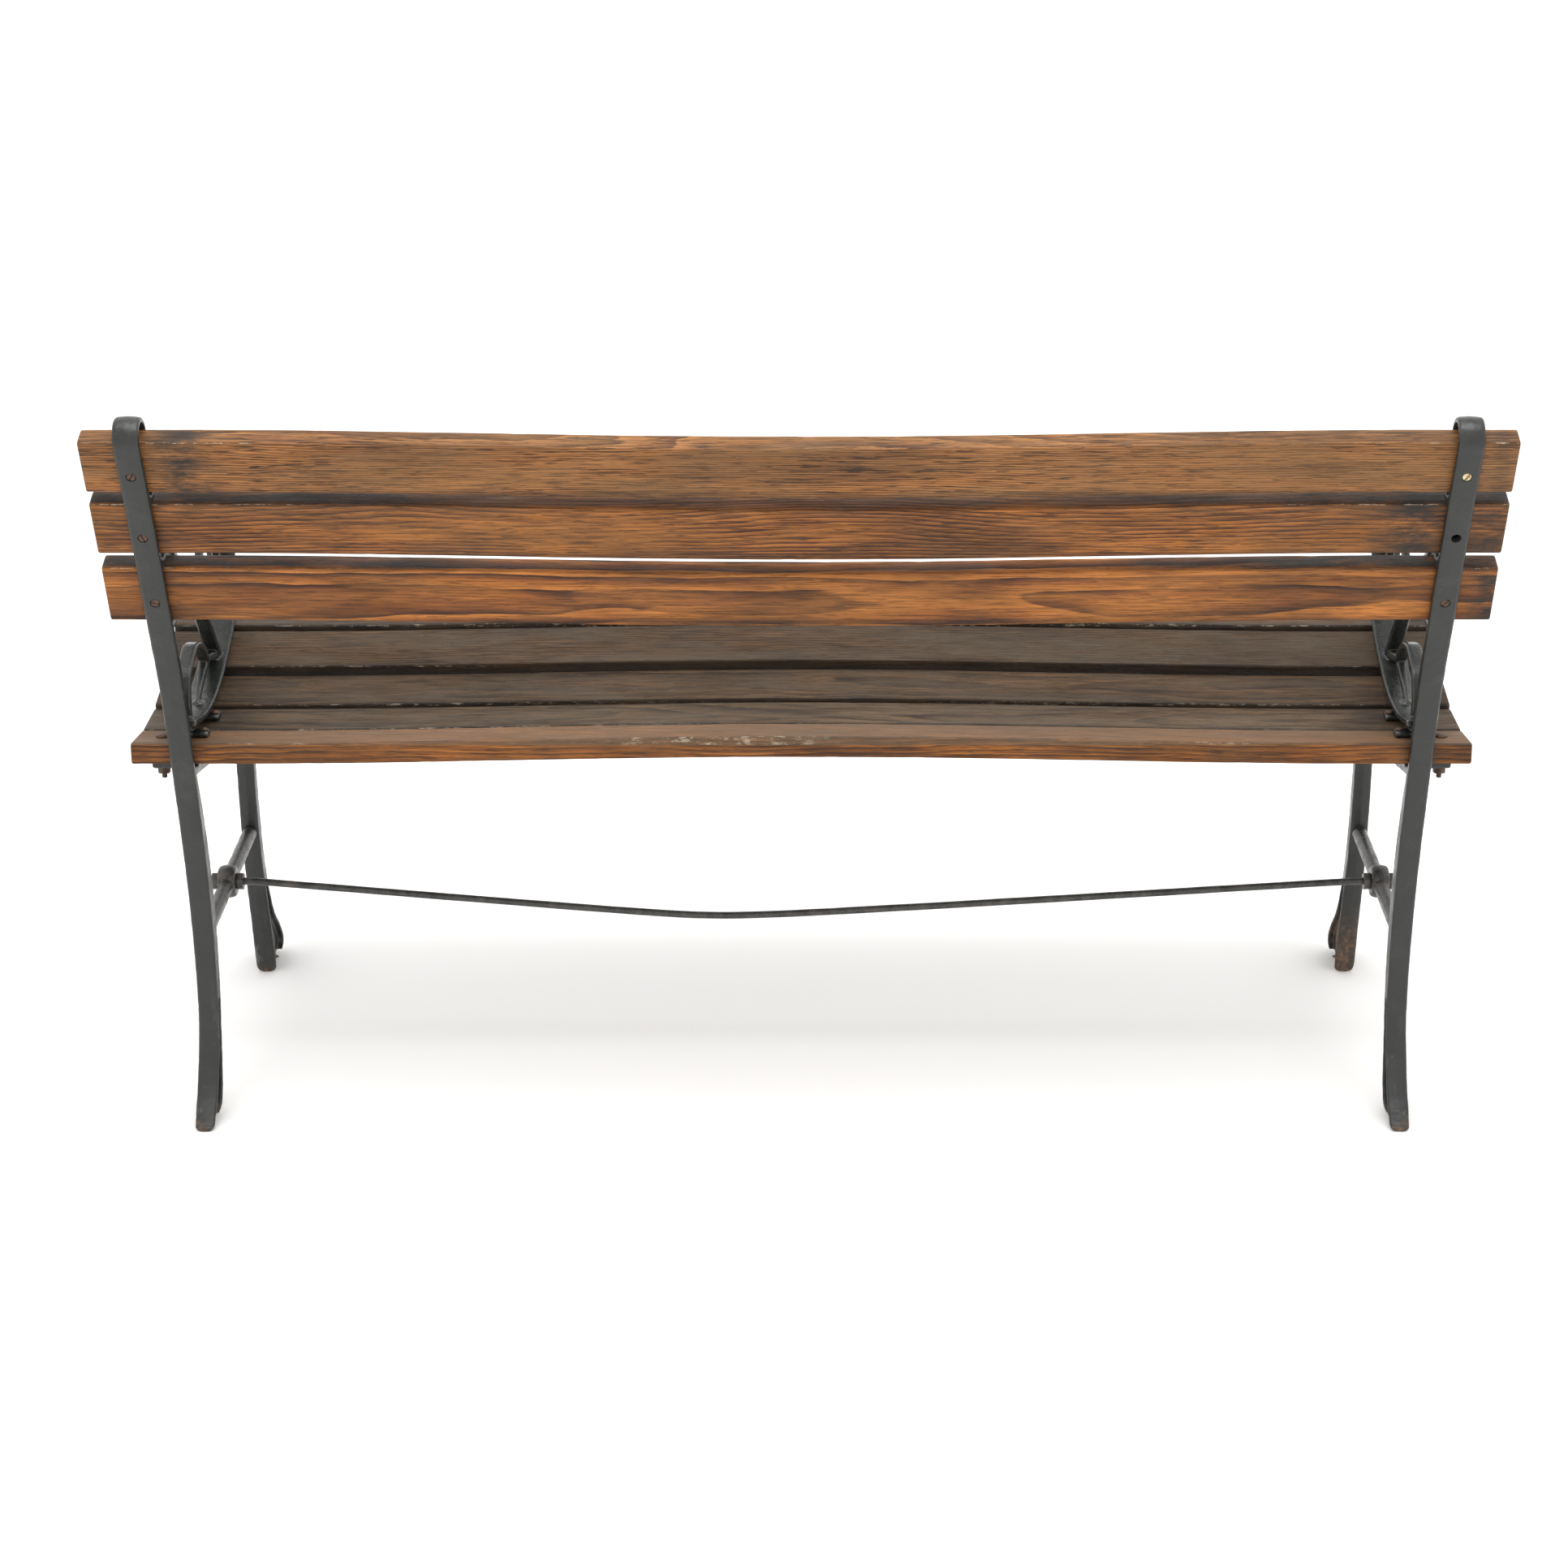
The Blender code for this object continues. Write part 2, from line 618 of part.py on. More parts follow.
def bolt_mesh():
    """Coach bolt that stands on its own origin: the underside of its domed head is at z = 0."""
    length = SEAT_SLAT_THICK + LUG_THICK + NUT_HEIGHT + 0.006
    profile = [
        (BOLT_RADIUS * 0.8, -length), (BOLT_RADIUS, -length + 0.001), (BOLT_RADIUS, GAP),
        (0.0072, GAP), (0.0066, 0.0016), (0.0042, 0.0030), (0.0016, 0.0036),
    ]
    return turned(profile, 10, Matrix.Identity(4))


def pierced_nut(flats, height, hole):
    """Hexagonal nut with a plain hole, its top face at z = 0."""
    radius = flats / math.sqrt(3)
    chamfer = 0.12 * height
    body = turned([(radius * 0.9, -height), (radius, chamfer - height), (radius, 0.0)],
                  6, Matrix.Identity(4))
    cutter = turned([(hole, -2 * height), (hole, height)], 10, Matrix.Identity(4))
    return combine(body, [cutter], "DIFFERENCE")


def slotted_head_screw(head_radius, head_height, shank_radius, length, sink):
    """Wood screw along its own Z: the head's outer face looks up, with a slot across it."""
    profile = [
        (shank_radius * 0.25, -length), (shank_radius, -length * 0.72), (shank_radius, -sink),
        (head_radius, 0.0), (head_radius, head_height * 0.4), (head_radius * 0.55, head_height),
    ]
    body = turned(profile, 10, Matrix.Identity(4))
    slot_depth = 0.0010
    slot = block((head_radius * 3, 0.0012, slot_depth * 2),
                 Matrix.Translation((0, 0, head_height)))
    return combine(body, [slot], "DIFFERENCE")


def rod_drop(x, inner):
    """How far the bent rod hangs below its hubs: two straight runs with a soft bend between."""
    if abs(x) >= inner:
        return 0.0
    reach = inner - ROD_LOW_X if x > ROD_LOW_X else inner + ROD_LOW_X
    part = abs(x - ROD_LOW_X) / reach
    rise = math.hypot(part, ROD_SOFTNESS) - ROD_SOFTNESS
    full_rise = math.hypot(1.0, ROD_SOFTNESS) - ROD_SOFTNESS
    return ROD_SAG * (1 - rise / full_rise)


def tie_rod_mesh():
    """Round rod from hub to hub that has bent down between them."""
    hub_x = frame_x(STRETCHER_HEIGHT)
    end = hub_x + HUB_HALF + ROD_NUT_HEIGHT + 0.009
    inner = hub_x - HUB_HALF - ROD_NUT_HEIGHT - ROD_STRAIGHT
    spans = 24
    places = [-end]
    places += [inner * (2 * k / spans - 1) for k in range(spans + 1)]
    places.append(end)
    rings = []
    for x in places:
        drop = rod_drop(x, inner)
        ring = []
        for k in range(8):
            angle = 2 * math.pi * (k + 0.5) / 8
            ring.append(at(HUB_FORWARD + ROD_RADIUS * math.cos(angle),
                           STRETCHER_HEIGHT - drop + ROD_RADIUS * math.sin(angle), x))
        rings.append(ring)
    bm = bmesh.new()
    skin(bm, rings)
    return mesh_from(bm, "rod")


def add_frames_arms_and_stretchers():
    """The two cast ends, their arms and their side stretchers; left is at +X."""
    sources = [
        ("end_frame", end_frame_mesh(), IRON_PAINT, FRAME_X),
        ("arm", arm_mesh(), IRON_PAINT, FRAME_X),
        ("side_stretcher", stretcher_mesh(), IRON_WORN, frame_x(STRETCHER_HEIGHT)),
    ]
    for name, left_mesh, look, x in sources:
        left = finish_object(name + "_left", left_mesh, look)
        left.location.x = x
        right = finish_object(name + "_right", mirrored(left_mesh), look)
        right.location.x = -x


def add_slats():
    """Six seat slats and three back slats."""
    for index, row in enumerate(SEAT_SLATS):
        finish_object(row[0], seat_slat_mesh(index), OAK_SEAT)
    for row in BACK_SLATS:
        finish_object(row[0], back_slat_mesh(row), OAK_BACK)


def add_seat_bolts():
    """A coach bolt and its nut at each end of each seat slat."""
    bolt = bolt_mesh()
    nut = pierced_nut(NUT_FLATS, NUT_HEIGHT, BOLT_RADIUS + 0.0004)
    for number, row in enumerate(SEAT_SLATS, start=1):
        top, out = seat_bolt_place(*row[1:])
        for side, word in ((1, "left"), (-1, "right")):
            x = side * (frame_x(row[2]) + BOLT_OUTBOARD)
            matrix = axes_matrix(at(top[0], top[1], x), Vector((1, 0, 0)), side_axis(out))
            item = finish_object(f"seat_bolt_{number}_{word}", bolt.copy(), BOLT_STEEL)
            item.matrix_world = matrix
            drop = SEAT_SLAT_THICK + LUG_THICK + 2 * GAP
            item = finish_object(f"seat_nut_{number}_{word}", nut.copy(), BOLT_STEEL)
            item.matrix_world = matrix @ Matrix.Translation((0, 0, -drop))


def add_back_screws():
    """Slotted screws through the strap into each back slat; one of the six has been lost."""
    screw = slotted_head_screw(0.0045, 0.0006, 0.0023, 0.0230, 0.0026)
    below_face = 0.0010
    for row in BACK_SLATS:
        place, out = back_screw_place(row)
        head = place + out * below_face
        for side, word in ((1, "left"), (-1, "right")):
            if (row[0], word) == MISSING_SCREW:
                continue
            look = BRASS if (row[0], word) == ("back_slat_top", "right") else BOLT_STEEL
            item = finish_object(row[0].replace("slat", "screw") + "_" + word, screw.copy(), look)
            item.matrix_world = axes_matrix(at(head[0], head[1], side * frame_x(row[2])),
                                            Vector((1, 0, 0)), side_axis(-out))


def add_arm_screws():
    """Round-headed screws that hold each arm's two feet down on the seat slats."""
    screw = slotted_head_screw(0.0042, 0.0026, 0.0018, 0.0170, 0.0)
    foot_top = GAP + ARM_FOOT_THICK + GAP
    for row, place_word in zip(SEAT_SLATS, ("rear", "front")):
        top, out = seat_bolt_place(*row[1:])
        place = top + out * foot_top
        for side, word in ((1, "left"), (-1, "right")):
            x = side * (frame_x(row[2]) - ARM_INSET)
            item = finish_object(f"arm_screw_{place_word}_{word}", screw.copy(), BOLT_STEEL)
            item.matrix_world = axes_matrix(at(place[0], place[1], x),
                                            Vector((1, 0, 0)), side_axis(out))


def add_tie_rod():
    """The rod across the bench and the nut on each side of each hub."""
    finish_object("tie_rod", tie_rod_mesh(), IRON_WORN)
    nut = pierced_nut(ROD_NUT_FLATS, ROD_NUT_HEIGHT, ROD_HOLE)
    for side, word in ((1, "left"), (-1, "right")):
        for way, place_word in ((1, "outer"), (-1, "inner")):
            x = side * (frame_x(STRETCHER_HEIGHT) + way * (HUB_HALF + GAP))
            towards_hub = Vector((-side * way, 0, 0))
            item = finish_object(f"tie_rod_nut_{place_word}_{word}", nut.copy(), IRON_WORN)
            item.matrix_world = axes_matrix(at(HUB_FORWARD, STRETCHER_HEIGHT, x),
                                            Vector((0, 0, 1)), towards_hub)


def main():
    """Build the bench."""
    clear_scene()
    add_frames_arms_and_stretchers()
    add_slats()
    add_seat_bolts()
    add_back_screws()
    add_arm_screws()
    add_tie_rod()


main()
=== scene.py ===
"""Looks of the slatted park bench: worn oak boards, painted cast iron and rusty fixings."""

from math import copysign, cos, hypot, pi, radians, sin, sqrt

import bmesh
import bpy
import numpy as np
from mathutils import Matrix, Vector, noise


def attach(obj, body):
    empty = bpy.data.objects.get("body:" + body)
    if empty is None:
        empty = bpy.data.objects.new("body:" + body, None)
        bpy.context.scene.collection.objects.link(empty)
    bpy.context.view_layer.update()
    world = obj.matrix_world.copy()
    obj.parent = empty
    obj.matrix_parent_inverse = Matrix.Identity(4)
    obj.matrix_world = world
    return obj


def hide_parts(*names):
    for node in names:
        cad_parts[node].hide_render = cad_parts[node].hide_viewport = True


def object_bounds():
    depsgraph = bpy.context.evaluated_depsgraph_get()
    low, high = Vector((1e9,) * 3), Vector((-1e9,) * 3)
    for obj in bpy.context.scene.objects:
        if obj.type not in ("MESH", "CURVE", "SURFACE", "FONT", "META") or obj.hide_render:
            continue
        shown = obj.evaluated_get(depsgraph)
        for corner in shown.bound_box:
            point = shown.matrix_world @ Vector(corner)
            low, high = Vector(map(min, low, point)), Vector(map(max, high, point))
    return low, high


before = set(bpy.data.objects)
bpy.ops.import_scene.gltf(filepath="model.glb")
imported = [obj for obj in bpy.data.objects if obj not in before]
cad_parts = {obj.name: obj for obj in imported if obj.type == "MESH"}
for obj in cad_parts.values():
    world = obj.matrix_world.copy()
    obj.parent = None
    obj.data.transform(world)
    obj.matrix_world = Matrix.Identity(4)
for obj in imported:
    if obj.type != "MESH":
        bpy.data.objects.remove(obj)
CAD_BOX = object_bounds()

# Driving dimensions, in metres, the same as the model's own.
SEAT_LENGTH = 1.419
BACK_LENGTH = 1.4125
FRAME_X = 0.6505            # middle plane of each end frame, at the floor
SPLAY = 0.0075              # the end frames lean apart by this much for each metre of height
FORWARD_CENTRE = 0.1908     # forward value that sits at the object origin
GAP = 0.0003
FLAT_FROM = 0.615           # the slats are straight from here to their ends

SEAT_SLAT_WIDTH = 0.0605
SEAT_SLAT_THICK = 0.023
SEAT_CROWN = 0.0078
BACK_SLAT_THICK = 0.024
BACK_DIP = 0.0070

STRAP_THICK = 0.0100
STRAP_HALF_WIDTH = 0.0132
CURL_RADIUS = 0.0215
HOOK_DROP = 0.002
SCREW_DROP = 0.0040
LUG_THICK = 0.009
LUG_LONG = 0.026
BOLT_OUTBOARD = 0.0275
BOLT_RADIUS = 0.003
NUT_FLATS = 0.012
NUT_HEIGHT = 0.007

STRETCHER_HEIGHT = 0.195
STRETCHER_RADIUS = 0.0085
STRETCHER_REAR = 0.0897     # forward places where the stretcher meets the two legs
STRETCHER_FRONT = 0.3590
HUB_FORWARD = 0.219
HUB_RADIUS = 0.019
HUB_HALF = 0.010
ROD_RADIUS = 0.004
ROD_SAG = 0.0425
ROD_LOW_X = 0.095
ROD_SOFTNESS = 0.1
ROD_STRAIGHT = 0.012
ROD_NUT_FLATS = 0.018
ROD_NUT_HEIGHT = 0.0075
ARM_INSET = 0.0175
ARM_FOOT_THICK = 0.007

# Seat slats from the back to the front: (forward, height) of the top rear edge, and slope.
SEAT_SLATS = [
    ("seat_slat_1_rear", 0.0585, 0.4268, -8.0),
    ("seat_slat_2", 0.121, 0.418, 1.0),
    ("seat_slat_3", 0.185, 0.422, 12.0),
    ("seat_slat_4", 0.249, 0.443, 22.0),
    ("seat_slat_5", 0.312, 0.469, 4.0),
    ("seat_slat_6_front", 0.3805, 0.471, -20.0),
]
# Back slats from the top down: the strap's rear face behind the slat, lean and width.
BACK_SLATS = [
    ("back_slat_top", -0.0576, 0.7566, 19.5, 0.0608),
    ("back_slat_middle", -0.0326, 0.6858, 19.0, 0.0617),
    ("back_slat_bottom", -0.0069, 0.6085, 17.5, 0.0663),
]
MISSING_SCREW = ("back_slat_middle", "right")
BRASS_SCREW = ("back_slat_top", "right")
SIDES = ((1, "left"), (-1, "right"))

# Rear upright: forward and height of its rear face, depth, direction and half width.
UPRIGHT = [
    (-0.013, 0.0, 0.047, 0, 0.0108),
    (-0.002, 0.012, 0.046, 0, 0.0112),
    (0.017, 0.031, 0.036, 0, 0.0114),
    (0.034, 0.055, 0.027, 0, 0.0114),
    (0.049, 0.084, 0.021, 0, 0.0112),
    (0.058, 0.112, 0.0205, 0, 0.0112),
    (0.063, 0.15, 0.023, 0, 0.0112),
    (0.066, 0.2, 0.024, 0, 0.0115),
    (0.065, 0.25, 0.024, 2, 0.0118),
    (0.0605, 0.3, 0.0225, 5, 0.012),
    (0.0545, 0.345, 0.019, 8, 0.0121),
    (0.048, 0.385, 0.014, 9, 0.0122),
    (0.0452, 0.402, 0.0102, 9, 0.0122),
    (0.0395, 0.435, 0.011, 10, 0.0123),
    (0.03, 0.485, 0.0125, 13, 0.0125),
    (0.0185, 0.53, 0.0115, 16, 0.0128),
]
FRONT_LEG = [
    (0.35, 0.412, 0.036, 72, 0.0115),
    (0.358, 0.4, 0.05, 48, 0.0112),
    (0.362, 0.384, 0.058, 38, 0.0108),
    (0.364, 0.356, 0.028, 12, 0.0104),
    (0.364, 0.32, 0.02, 2, 0.0102),
    (0.362, 0.28, 0.019, 0, 0.0102),
    (0.359, 0.23, 0.02, 0, 0.0104),
    (0.359, 0.18, 0.02, 0, 0.0106),
    (0.363, 0.14, 0.021, 0, 0.011),
    (0.369, 0.105, 0.024, 0, 0.0114),
    (0.376, 0.07, 0.034, 0, 0.0117),
    (0.381, 0.04, 0.056, 0, 0.012),
    (0.384, 0.015, 0.066, 0, 0.012),
    (0.386, 0.0, 0.042, 0, 0.0118),
]
RAIL_DEPTH = 0.021
RAIL_START_DEPTH = 0.013
RAIL_HALF_WIDTH = 0.011
LUG_SINK = 0.0045
POCKET_TOP = 0.125          # the legs are I-shaped in section from the floor up to here
POCKET_WALL = 0.006
WEB_HALF = 0.0045

# Arm casting: the middle line of its rim, then each bar of its tracery.
ARM_RIM = [
    (0.06, 0.449), (0.115, 0.437), (0.16, 0.435), (0.205, 0.441),
    (0.25, 0.455), (0.295, 0.4735), (0.322, 0.492), (0.333, 0.52),
    (0.334, 0.558), (0.348, 0.593), (0.369, 0.621), (0.369, 0.644),
    (0.348, 0.656), (0.3, 0.656), (0.22, 0.652), (0.13, 0.653),
    (0.048, 0.66), (0.017, 0.662),
]
ARM_RIM_HALF_WIDTH = 0.016
ARM_RIM_THICK = 0.0065
BAND_ROUND = 0.002          # rounding of the edges of the arm's rim and tracery
ARC_STEPS = 4               # steps in a rounded corner of a section
PATH_STEPS = 6              # spans are cut into this many steps where a curve is smoothed
TRACERY_THICK = 0.008
# Each bar of the tracery: its points, and its half width at its start and at its end.
ARM_TRACERY = [
    ([(0.064, 0.448), (0.058, 0.48), (0.05, 0.52), (0.04, 0.56)], 0.0045, 0.0045),
    ([(0.25, 0.457), (0.233, 0.48), (0.212, 0.508), (0.185, 0.542),
      (0.155, 0.572), (0.1, 0.615), (0.048, 0.655)], 0.009, 0.006),
    ([(0.083, 0.443), (0.085, 0.47), (0.1, 0.493), (0.135, 0.506)], 0.0075, 0.008),
    ([(0.135, 0.506), (0.16, 0.5), (0.185, 0.485), (0.2, 0.468)], 0.008, 0.006),
    ([(0.205, 0.47), (0.175, 0.456), (0.145, 0.437)], 0.006, 0.002),
    ([(0.195, 0.472), (0.22, 0.466), (0.25, 0.458)], 0.006, 0.007),
    ([(0.185, 0.542), (0.212, 0.575), (0.238, 0.605), (0.248, 0.65)], 0.0045, 0.0045),
    ([(0.333, 0.515), (0.312, 0.55), (0.285, 0.58), (0.26, 0.605),
      (0.248, 0.65)], 0.0045, 0.0045),
    ([(0.04, 0.56), (0.075, 0.565), (0.105, 0.58), (0.128, 0.594)], 0.0045, 0.0045),
]


# ---- places

def at(forward, height, x=0.0):
    """Side-view place as a point in the bench's own axes."""
    return Vector((x, FORWARD_CENTRE - forward, height))


def side_axis(direction):
    """Side-view direction as a direction in the bench's own axes."""
    return Vector((0.0, -direction[0], direction[1]))


def slope(degrees):
    """Side-view direction at an angle above level, and the direction a quarter turn on."""
    angle = radians(degrees)
    return Vector((cos(angle), sin(angle))), Vector((-sin(angle), cos(angle)))


def frame_x(height):
    """How far out each end frame's middle plane is at one height."""
    return FRAME_X + SPLAY * height


def axes_matrix(origin, x_axis, z_axis):
    """Matrix whose local X and Z axes point the given ways."""
    z = z_axis.normalized()
    x = x_axis.normalized()
    turn = Matrix((x, z.cross(x), z)).transposed().to_4x4()
    return Matrix.Translation(origin) @ turn


def side_matrix(place, out, x=0.0, facing=1):
    """Matrix at a side-view place: its Z axis points out and its X axis along the bench."""
    return axes_matrix(at(place[0], place[1], x), Vector((facing, 0, 0)), side_axis(out))


def strap_place(row):
    """Side-view point on the strap behind a back slat's middle, and the ways up and out."""
    out, up = slope(row[3])
    return Vector(row[1:3]), up, out


def seat_slat_frame(row):
    """Side-view rear top edge of a seat slat, and the ways forward along and up out of it."""
    along, out = slope(row[3])
    return Vector(row[1:3]), along, out


def seat_bolt_place(row):
    """Side-view point on a seat slat's top where its bolts go through, and the way up."""
    corner, along, out = seat_slat_frame(row)
    return corner + along * (SEAT_SLAT_WIDTH / 2), out


# ---- meshes

def mesh_from(bm, name):
    """Close a bmesh into a smooth mesh whose faces point out."""
    bmesh.ops.recalc_face_normals(bm, faces=bm.faces[:])
    data = bpy.data.meshes.new(name)
    bm.to_mesh(data)
    bm.free()
    data.shade_smooth()
    return data


def smooth_path(points, steps):
    """Catmull-Rom curve through rows of numbers, in some steps for each span."""
    count = len(points)
    rows = []
    for i in range(count - 1):
        a = Vector(points[max(i - 1, 0)])
        b = Vector(points[i])
        c = Vector(points[i + 1])
        d = Vector(points[min(i + 2, count - 1)])
        for k in range(steps):
            t = k / steps
            rows.append(0.5 * ((2 * b) + (c - a) * t
                               + (2 * a - 5 * b + 4 * c - d) * t * t
                               + (3 * b - a - 3 * c + d) * t ** 3))
    rows.append(Vector(points[-1]))
    return rows


def tube(rings, name):
    """Closed mesh through rings of equal size, with flat ends."""
    bm = bmesh.new()
    loops = [[bm.verts.new(point) for point in ring] for ring in rings]
    size = len(loops[0])
    for first, second in zip(loops, loops[1:]):
        for k in range(size):
            bm.faces.new((first[k], first[(k + 1) % size], second[(k + 1) % size], second[k]))
    bm.faces.new(list(reversed(loops[0])))
    bm.faces.new(loops[-1])
    return mesh_from(bm, name)


def arc(centre, radius, first, last):
    """Points of an arc about a centre, from one angle to another in degrees."""
    angles = [radians(first + (last - first) * k / ARC_STEPS) for k in range(ARC_STEPS + 1)]
    return [(centre[0] + radius * cos(angle), centre[1] + radius * sin(angle)) for angle in angles]


def rounded_outline(depth, width, radius):
    """Outline of a rounded rectangle: along from 0 to depth, across about the middle."""
    radius = min(radius, depth * 0.45, width * 0.45)
    half = width / 2
    corners = [
        (radius, half - radius, 90, 180), (radius, radius - half, 180, 270),
        (depth - radius, radius - half, 270, 360), (depth - radius, half - radius, 0, 90),
    ]
    outline = []
    for along, across, first, last in corners:
        outline += arc((along, across), radius, first, last)
        if first == 90:
            outline.append((0.0, 0.0))
        if first == 270:
            outline.append((depth, 0.0))
    return outline


def bar_ring(base, direction, depth, half_width, radius, ridge):
    """Section of a cast bar, whose rear face falls away by ridge to the sides."""
    ring = []
    for along, across in rounded_outline(depth, 2 * half_width, radius):
        fall = ridge * abs(across) / half_width if along < depth / 2 else 0.0
        point = base + direction * (along + fall)
        ring.append(at(point[0], point[1], across))
    return ring


def loft(rows, radius=0.0026, ridge=0.0):
    """Closed bar through rows of forward, height, depth, direction and half width."""
    return tube([bar_ring(Vector(row[:2]), slope(row[3])[0], row[2], row[4], radius, ridge)
                 for row in rows], "bar")


def band(points, start_half, end_half, thick):
    """Closed band along a smooth side-view curve, with a half width at each end."""
    path = smooth_path(points, PATH_STEPS)
    last = len(path) - 1
    rings = []
    for i, point in enumerate(path):
        tangent = (path[min(i + 1, last)] - path[max(i - 1, 0)]).normalized()
        normal = Vector((-tangent[1], tangent[0]))
        half = start_half + (end_half - start_half) * i / last
        rings.append(bar_ring(point - normal * (thick / 2), normal, thick, half, BAND_ROUND, 0.0))
    return tube(rings, "band")


def turned(profile, sides, matrix=Matrix.Identity(4)):
    """Closed turned piece: profile rows are radius and place along its own Z axis."""
    circle = [(cos(2 * pi * k / sides), sin(2 * pi * k / sides)) for k in range(sides)]
    return tube([[matrix @ Vector((radius * a, radius * b, z)) for a, b in circle]
                 for radius, z in profile], "turned")


def block(size, matrix, rounding=0.0):
    """Closed block with rounded edges, for lugs and for cutters."""
    bm = bmesh.new()
    bmesh.ops.create_cube(bm, size=1.0)
    bmesh.ops.scale(bm, vec=size, verts=bm.verts[:])
    if rounding > 0:
        bmesh.ops.bevel(bm, geom=bm.edges[:], offset=rounding, segments=3, affect="EDGES",
                        profile=0.5)
    bmesh.ops.transform(bm, matrix=matrix, verts=bm.verts[:])
    return mesh_from(bm, "block")


def joined(meshes):
    """One mesh that holds several closed bodies."""
    bm = bmesh.new()
    for mesh in meshes:
        bm.from_mesh(mesh)
    return mesh_from(bm, "joined")


def add_object(name, data, place=(0.0, 0.0, 0.0), turn=(0.0, 0.0, 0.0)):
    """Object with the given data, linked to the scene."""
    item = bpy.data.objects.new(name, data)
    item.location = place
    item.rotation_euler = turn
    bpy.context.scene.collection.objects.link(item)
    return item


def modified(mesh, modifiers):
    """Run a mesh through modifiers, given as (type, settings), and return the new mesh."""
    item = add_object("work", mesh)
    for kind, settings in modifiers:
        step = item.modifiers.new(kind.lower(), kind)
        for key, value in settings.items():
            setattr(step, key, value)
    bpy.context.view_layer.update()
    graph = bpy.context.evaluated_depsgraph_get()
    result = bpy.data.meshes.new_from_object(item.evaluated_get(graph))
    bpy.data.objects.remove(item, do_unlink=True)
    result.shade_smooth()
    return result


def cut(mesh, cutter):
    """Take a cutter's shape out of a mesh."""
    helper = add_object("helper", cutter)
    settings = {"operation": "DIFFERENCE", "solver": "EXACT", "object": helper}
    result = modified(mesh, [("BOOLEAN", settings)])
    bpy.data.objects.remove(helper, do_unlink=True)
    return result


def cast(mesh, voxel, rounds):
    """Fuse overlapping bodies into one fine casting, with soft edges."""
    return modified(mesh, [
        ("REMESH", {"mode": "VOXEL", "voxel_size": voxel, "adaptivity": 0.0}),
        ("SMOOTH", {"factor": 0.5, "iterations": rounds}),
    ])


def vectors(mesh, key):
    """A mesh's points or normals as an array."""
    flat = np.empty(len(mesh.vertices) * 3)
    mesh.vertices.foreach_get(key, flat)
    return flat.reshape(-1, 3)


def roughen(mesh, amount, size, seed):
    """Move each point along its normal by a smooth noise, and keep it inside the CAD box."""
    normals = vectors(mesh, "normal")
    points = vectors(mesh, "co")
    offset = Vector((seed * 3.7, seed * 1.3, seed * 2.1))
    fine = 3.1
    fine_share = 0.4
    shifts = np.array([
        noise.noise(Vector(p) / size + offset)
        + fine_share * noise.noise(Vector(p) * fine / size + offset) for p in points
    ])
    points = points + normals * (shifts * amount)[:, None]
    points = np.clip(points, np.array(CAD_BOX[0]), np.array(CAD_BOX[1]))
    mesh.vertices.foreach_set("co", points.ravel())
    mesh.update()


def mark_wear(mesh):
    """Store how far each point stands out from its neighbours, for worn edges and the arms' painted
    edge highlights.
    """
    reach = 3
    count = len(mesh.vertices)
    edges = np.empty(len(mesh.edges) * 2, dtype=np.int64)
    mesh.edges.foreach_get("vertices", edges)
    first, second = edges.reshape(-1, 2).T
    points = vectors(mesh, "co")
    normals = vectors(mesh, "normal")
    ways = points[second] - points[first]
    ways /= np.maximum(np.linalg.norm(ways, axis=1, keepdims=True), 1e-9)
    links = np.bincount(first, minlength=count) + np.bincount(second, minlength=count)
    links = np.maximum(links, 1)
    bend = np.zeros(count)
    np.add.at(bend, first, -(normals[first] * ways).sum(axis=1))
    np.add.at(bend, second, (normals[second] * ways).sum(axis=1))
    bend /= links
    for _ in range(reach):
        spread = np.zeros(count)
        np.add.at(spread, first, bend[second])
        np.add.at(spread, second, bend[first])
        bend = 0.5 * bend + 0.5 * spread / links
    layer = mesh.attributes.new("wear", "FLOAT", "POINT")
    layer.data.foreach_set("value", bend)


def mirrored(mesh):
    """Copy of a mesh on the other side of the bench's middle."""
    bm = bmesh.new()
    bm.from_mesh(mesh)
    bmesh.ops.scale(bm, vec=(-1, 1, 1), verts=bm.verts[:])
    bmesh.ops.reverse_faces(bm, faces=bm.faces[:])
    return mesh_from(bm, "mirrored")


def shifted(mesh, x):
    """Copy of a mesh, leaned with the end frames and moved along X."""
    result = mesh.copy()
    for vertex in result.vertices:
        vertex.co.x += SPLAY * vertex.co.z + x
    return result


def add_piece(name, mesh, finish, node, matrix=None):
    """Put a piece in place of a CAD node; its finish is a material and a slot name, which is not
    used.
    """
    material, slot = finish
    mesh.materials.clear()
    mesh.materials.append(material)
    item = add_object(name, mesh)
    if matrix is not None:
        item.matrix_world = matrix
    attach(item, "root")
    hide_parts(node)


# ---- materials

